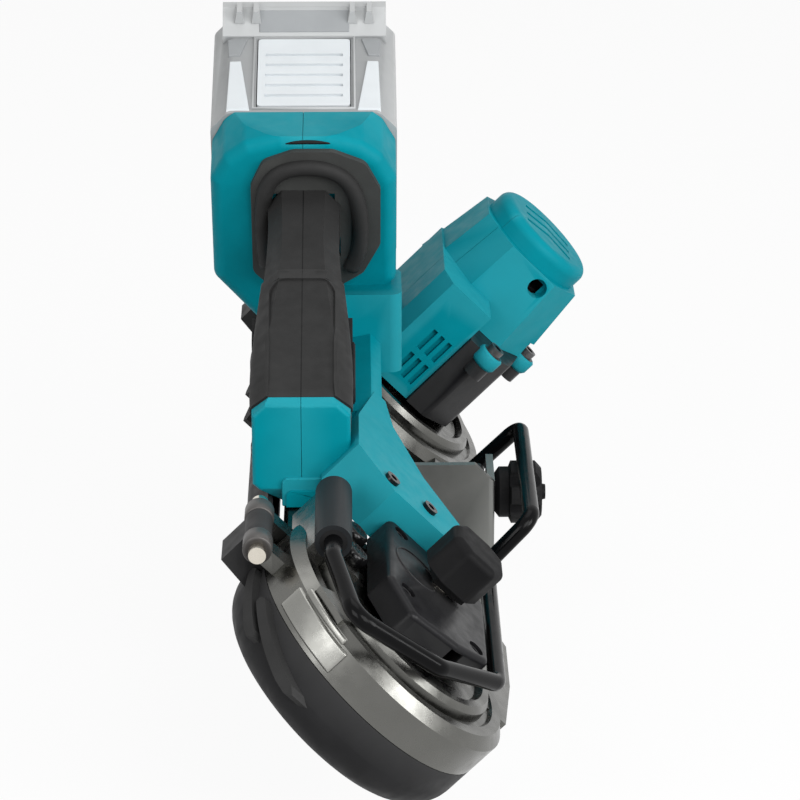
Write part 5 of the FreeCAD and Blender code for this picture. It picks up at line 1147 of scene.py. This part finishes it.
@dataclass
class BoltHeads:
    """Domed black heads over the barrel's bolts; rings are shares of the radius, with heights."""

    radius: float = 3.8
    rings: Profile = ((1.0, -3.4), (1.0, -0.8), (0.92, 0.3), (0.72, 1.0), (0.5, 1.25), (0.44, 0.5))

    def build(self) -> None:
        """Turn one dome over each loose patch of the bolts' mesh."""
        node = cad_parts["barrel_bolts"]
        for number, (centre, height) in enumerate(self._heads(node)):
            Moulding("bolt_dome_%d" % number, Place.SAW).turned(
                centre, (0, 0, 1), scaled(self.rings, self.radius, height)
            ).laid(BOLT_BLACK, "dark_steel", "base")

    def _heads(self, node: bpy.types.Object) -> list[tuple[Point, float]]:
        """Middle and top of each loose patch of the bolts' mesh.

        Args:
            node: The bolts' node.

        Returns:
            Foot point below each patch's middle and the height of its top, in the saw's frame.
        """
        back = Place.SAW.matrix().inverted()
        shape = bmesh.new()
        shape.from_mesh(node.data)
        left = set(shape.verts)
        found = []
        while left:
            todo = [left.pop()]
            patch = list(todo)
            while todo:
                for edge in todo.pop().link_edges:
                    for vert in edge.verts:
                        if vert in left:
                            left.remove(vert)
                            todo.append(vert)
                            patch.append(vert)
            points = [back @ vert.co for vert in patch]
            across = [point.x for point in points]
            along = [point.y for point in points]
            middle = ((min(across) + max(across)) / 2, (min(along) + max(along)) / 2, 0.0)
            found.append((middle, max(point.z for point in points)))
        shape.free()
        return sorted(found)


@dataclass(frozen=True)
class Lamp:
    """Square soft lamp: position and side in metres, power in watts."""

    name: str
    place: Point
    size: float
    power: float

    def build(self, target: Point) -> None:
        """Hang the lamp and aim it.

        Args:
            target: Point that the lamp faces.
        """
        data = bpy.data.lights.new(self.name, "AREA")
        data.shape = "SQUARE"
        data.size = self.size
        data.energy = self.power
        lamp = bpy.data.objects.new(self.name, data)
        lamp.location = self.place
        lamp.rotation_euler = (Vector(target) - Vector(self.place)).to_track_quat("-Z", "Y").to_euler()
        bpy.context.scene.collection.objects.link(lamp)


@dataclass
class Studio:
    """Floor, soft lights and the camera at the photograph's angle."""

    target: Point = (-2.6 * MM, 17.7 * MM, 129.4 * MM)
    azimuth: float = math.radians(-0.8)
    elevation: float = math.radians(21.5)
    distance: float = 1.4
    lens: float = 157.5
    sensor: float = 36.0
    floor_half: float = 6.0
    floor_glow: float = 0.92
    floor_rough: float = 0.9
    floor_specular: float = 0.1
    floor_dim: float = 0.4
    floor_white: float = 0.86
    ambient: float = 0.28
    lamps: tuple[Lamp, ...] = (
        Lamp("front_left", (-0.95, -1.2, 0.95), size=0.9, power=11.0),
        Lamp("front_right", (0.7, -1.4, 1.15), size=1.0, power=18.0),
        Lamp("top", (0.1, 0.3, 1.5), size=0.9, power=4.0),
        Lamp("right", (1.25, -0.75, 0.55), size=0.7, power=13.0),
    )

    def build(self) -> None:
        """Make floor, world, lamps and camera."""
        self._floor()
        self._world()
        for lamp in self.lamps:
            lamp.build(self.target)
        self._camera()
        LOG.info("set up floor, lamps and camera")

    def _floor(self) -> None:
        """White floor that still takes the saw's shadow, and throws little light back."""
        mesh = bpy.data.meshes.new("floor")
        half = self.floor_half
        corners = [(-half, -half, 0), (half, -half, 0), (half, half, 0), (-half, half, 0)]
        mesh.from_pydata(corners, [], [(0, 1, 2, 3)])
        floor = bpy.data.objects.new("floor", mesh)
        bpy.context.scene.collection.objects.link(floor)
        mesh.materials.append(self._floor_material())

    def _floor_material(self) -> bpy.types.Material:
        """Matt white that glows where it is seen.

        Returns:
            The floor's material.
        """
        material = bpy.data.materials.new("floor_white")
        material.use_nodes = True
        tree = material.node_tree
        seen = self._seen(tree)
        shader = tree.nodes["Principled BSDF"]
        shader.inputs["Roughness"].default_value = self.floor_rough
        shader.inputs["Specular IOR Level"].default_value = self.floor_specular
        level = map_range(tree, seen, (self.floor_dim, self.floor_white))
        tree.links.new(level, shader.inputs["Base Color"])
        glow = tree.nodes.new("ShaderNodeEmission")
        glow.inputs["Color"].default_value = WHITE
        mix = tree.nodes.new("ShaderNodeMixShader")
        tree.links.new(combine(tree, "MULTIPLY", seen, self.floor_glow), mix.inputs["Fac"])
        tree.links.new(shader.outputs["BSDF"], mix.inputs[1])
        tree.links.new(glow.outputs["Emission"], mix.inputs[2])
        tree.links.new(mix.outputs["Shader"], tree.nodes["Material Output"].inputs["Surface"])
        return material

    def _seen(self, tree: Tree) -> Socket:
        """Mask of the rays that see the background, straight, mirrored or through glass.

        Args:
            tree: Nodes of the floor or the world.

        Returns:
            The mask's socket.
        """
        path = tree.nodes.new("ShaderNodeLightPath")
        found = path.outputs["Is Camera Ray"]
        for kind in ("Is Glossy Ray", "Is Transmission Ray"):
            found = combine(tree, "MAXIMUM", found, path.outputs[kind])
        return found

    def _world(self) -> None:
        """White background where it is seen, dimmer light for the rest."""
        world = bpy.data.worlds.new("studio")
        world.use_nodes = True
        bpy.context.scene.world = world
        tree = world.node_tree
        back = tree.nodes["Background"]
        back.inputs["Color"].default_value = WHITE
        level = map_range(tree, self._seen(tree), (self.ambient, 1.0))
        tree.links.new(level, back.inputs["Strength"])

    def _camera(self) -> None:
        """Camera at the photograph's angle and distance."""
        data = bpy.data.cameras.new("camera")
        data.lens = self.lens
        data.sensor_width = self.sensor
        camera = bpy.data.objects.new("camera", data)
        level = math.cos(self.elevation)
        back = Vector((
            math.sin(self.azimuth) * level,
            -math.cos(self.azimuth) * level,
            math.sin(self.elevation),
        ))
        camera.location = Vector(self.target) + back * self.distance
        camera.rotation_euler = back.to_track_quat("Z", "Y").to_euler()
        bpy.context.scene.collection.objects.link(camera)
        bpy.context.scene.camera = camera


def main() -> None:
    """Dress the saw, build its small parts and set up the studio."""
    logging.basicConfig(level=logging.INFO, format="%(name)s: %(message)s")
    bpy.context.scene.view_settings.view_transform = "Standard"
    Dressing().dress()
    trims = (
        NoseTrim(), SidePlate(), CollarTrim(), GripBorder(), PackTrim(), BoxTrim(), MotorTrim(),
        HingeSleeves(), RimPad(), BoltHeads(),
    )
    for trim in trims:
        trim.build()
    Studio().build()


if __name__ == "__main__":
    main()
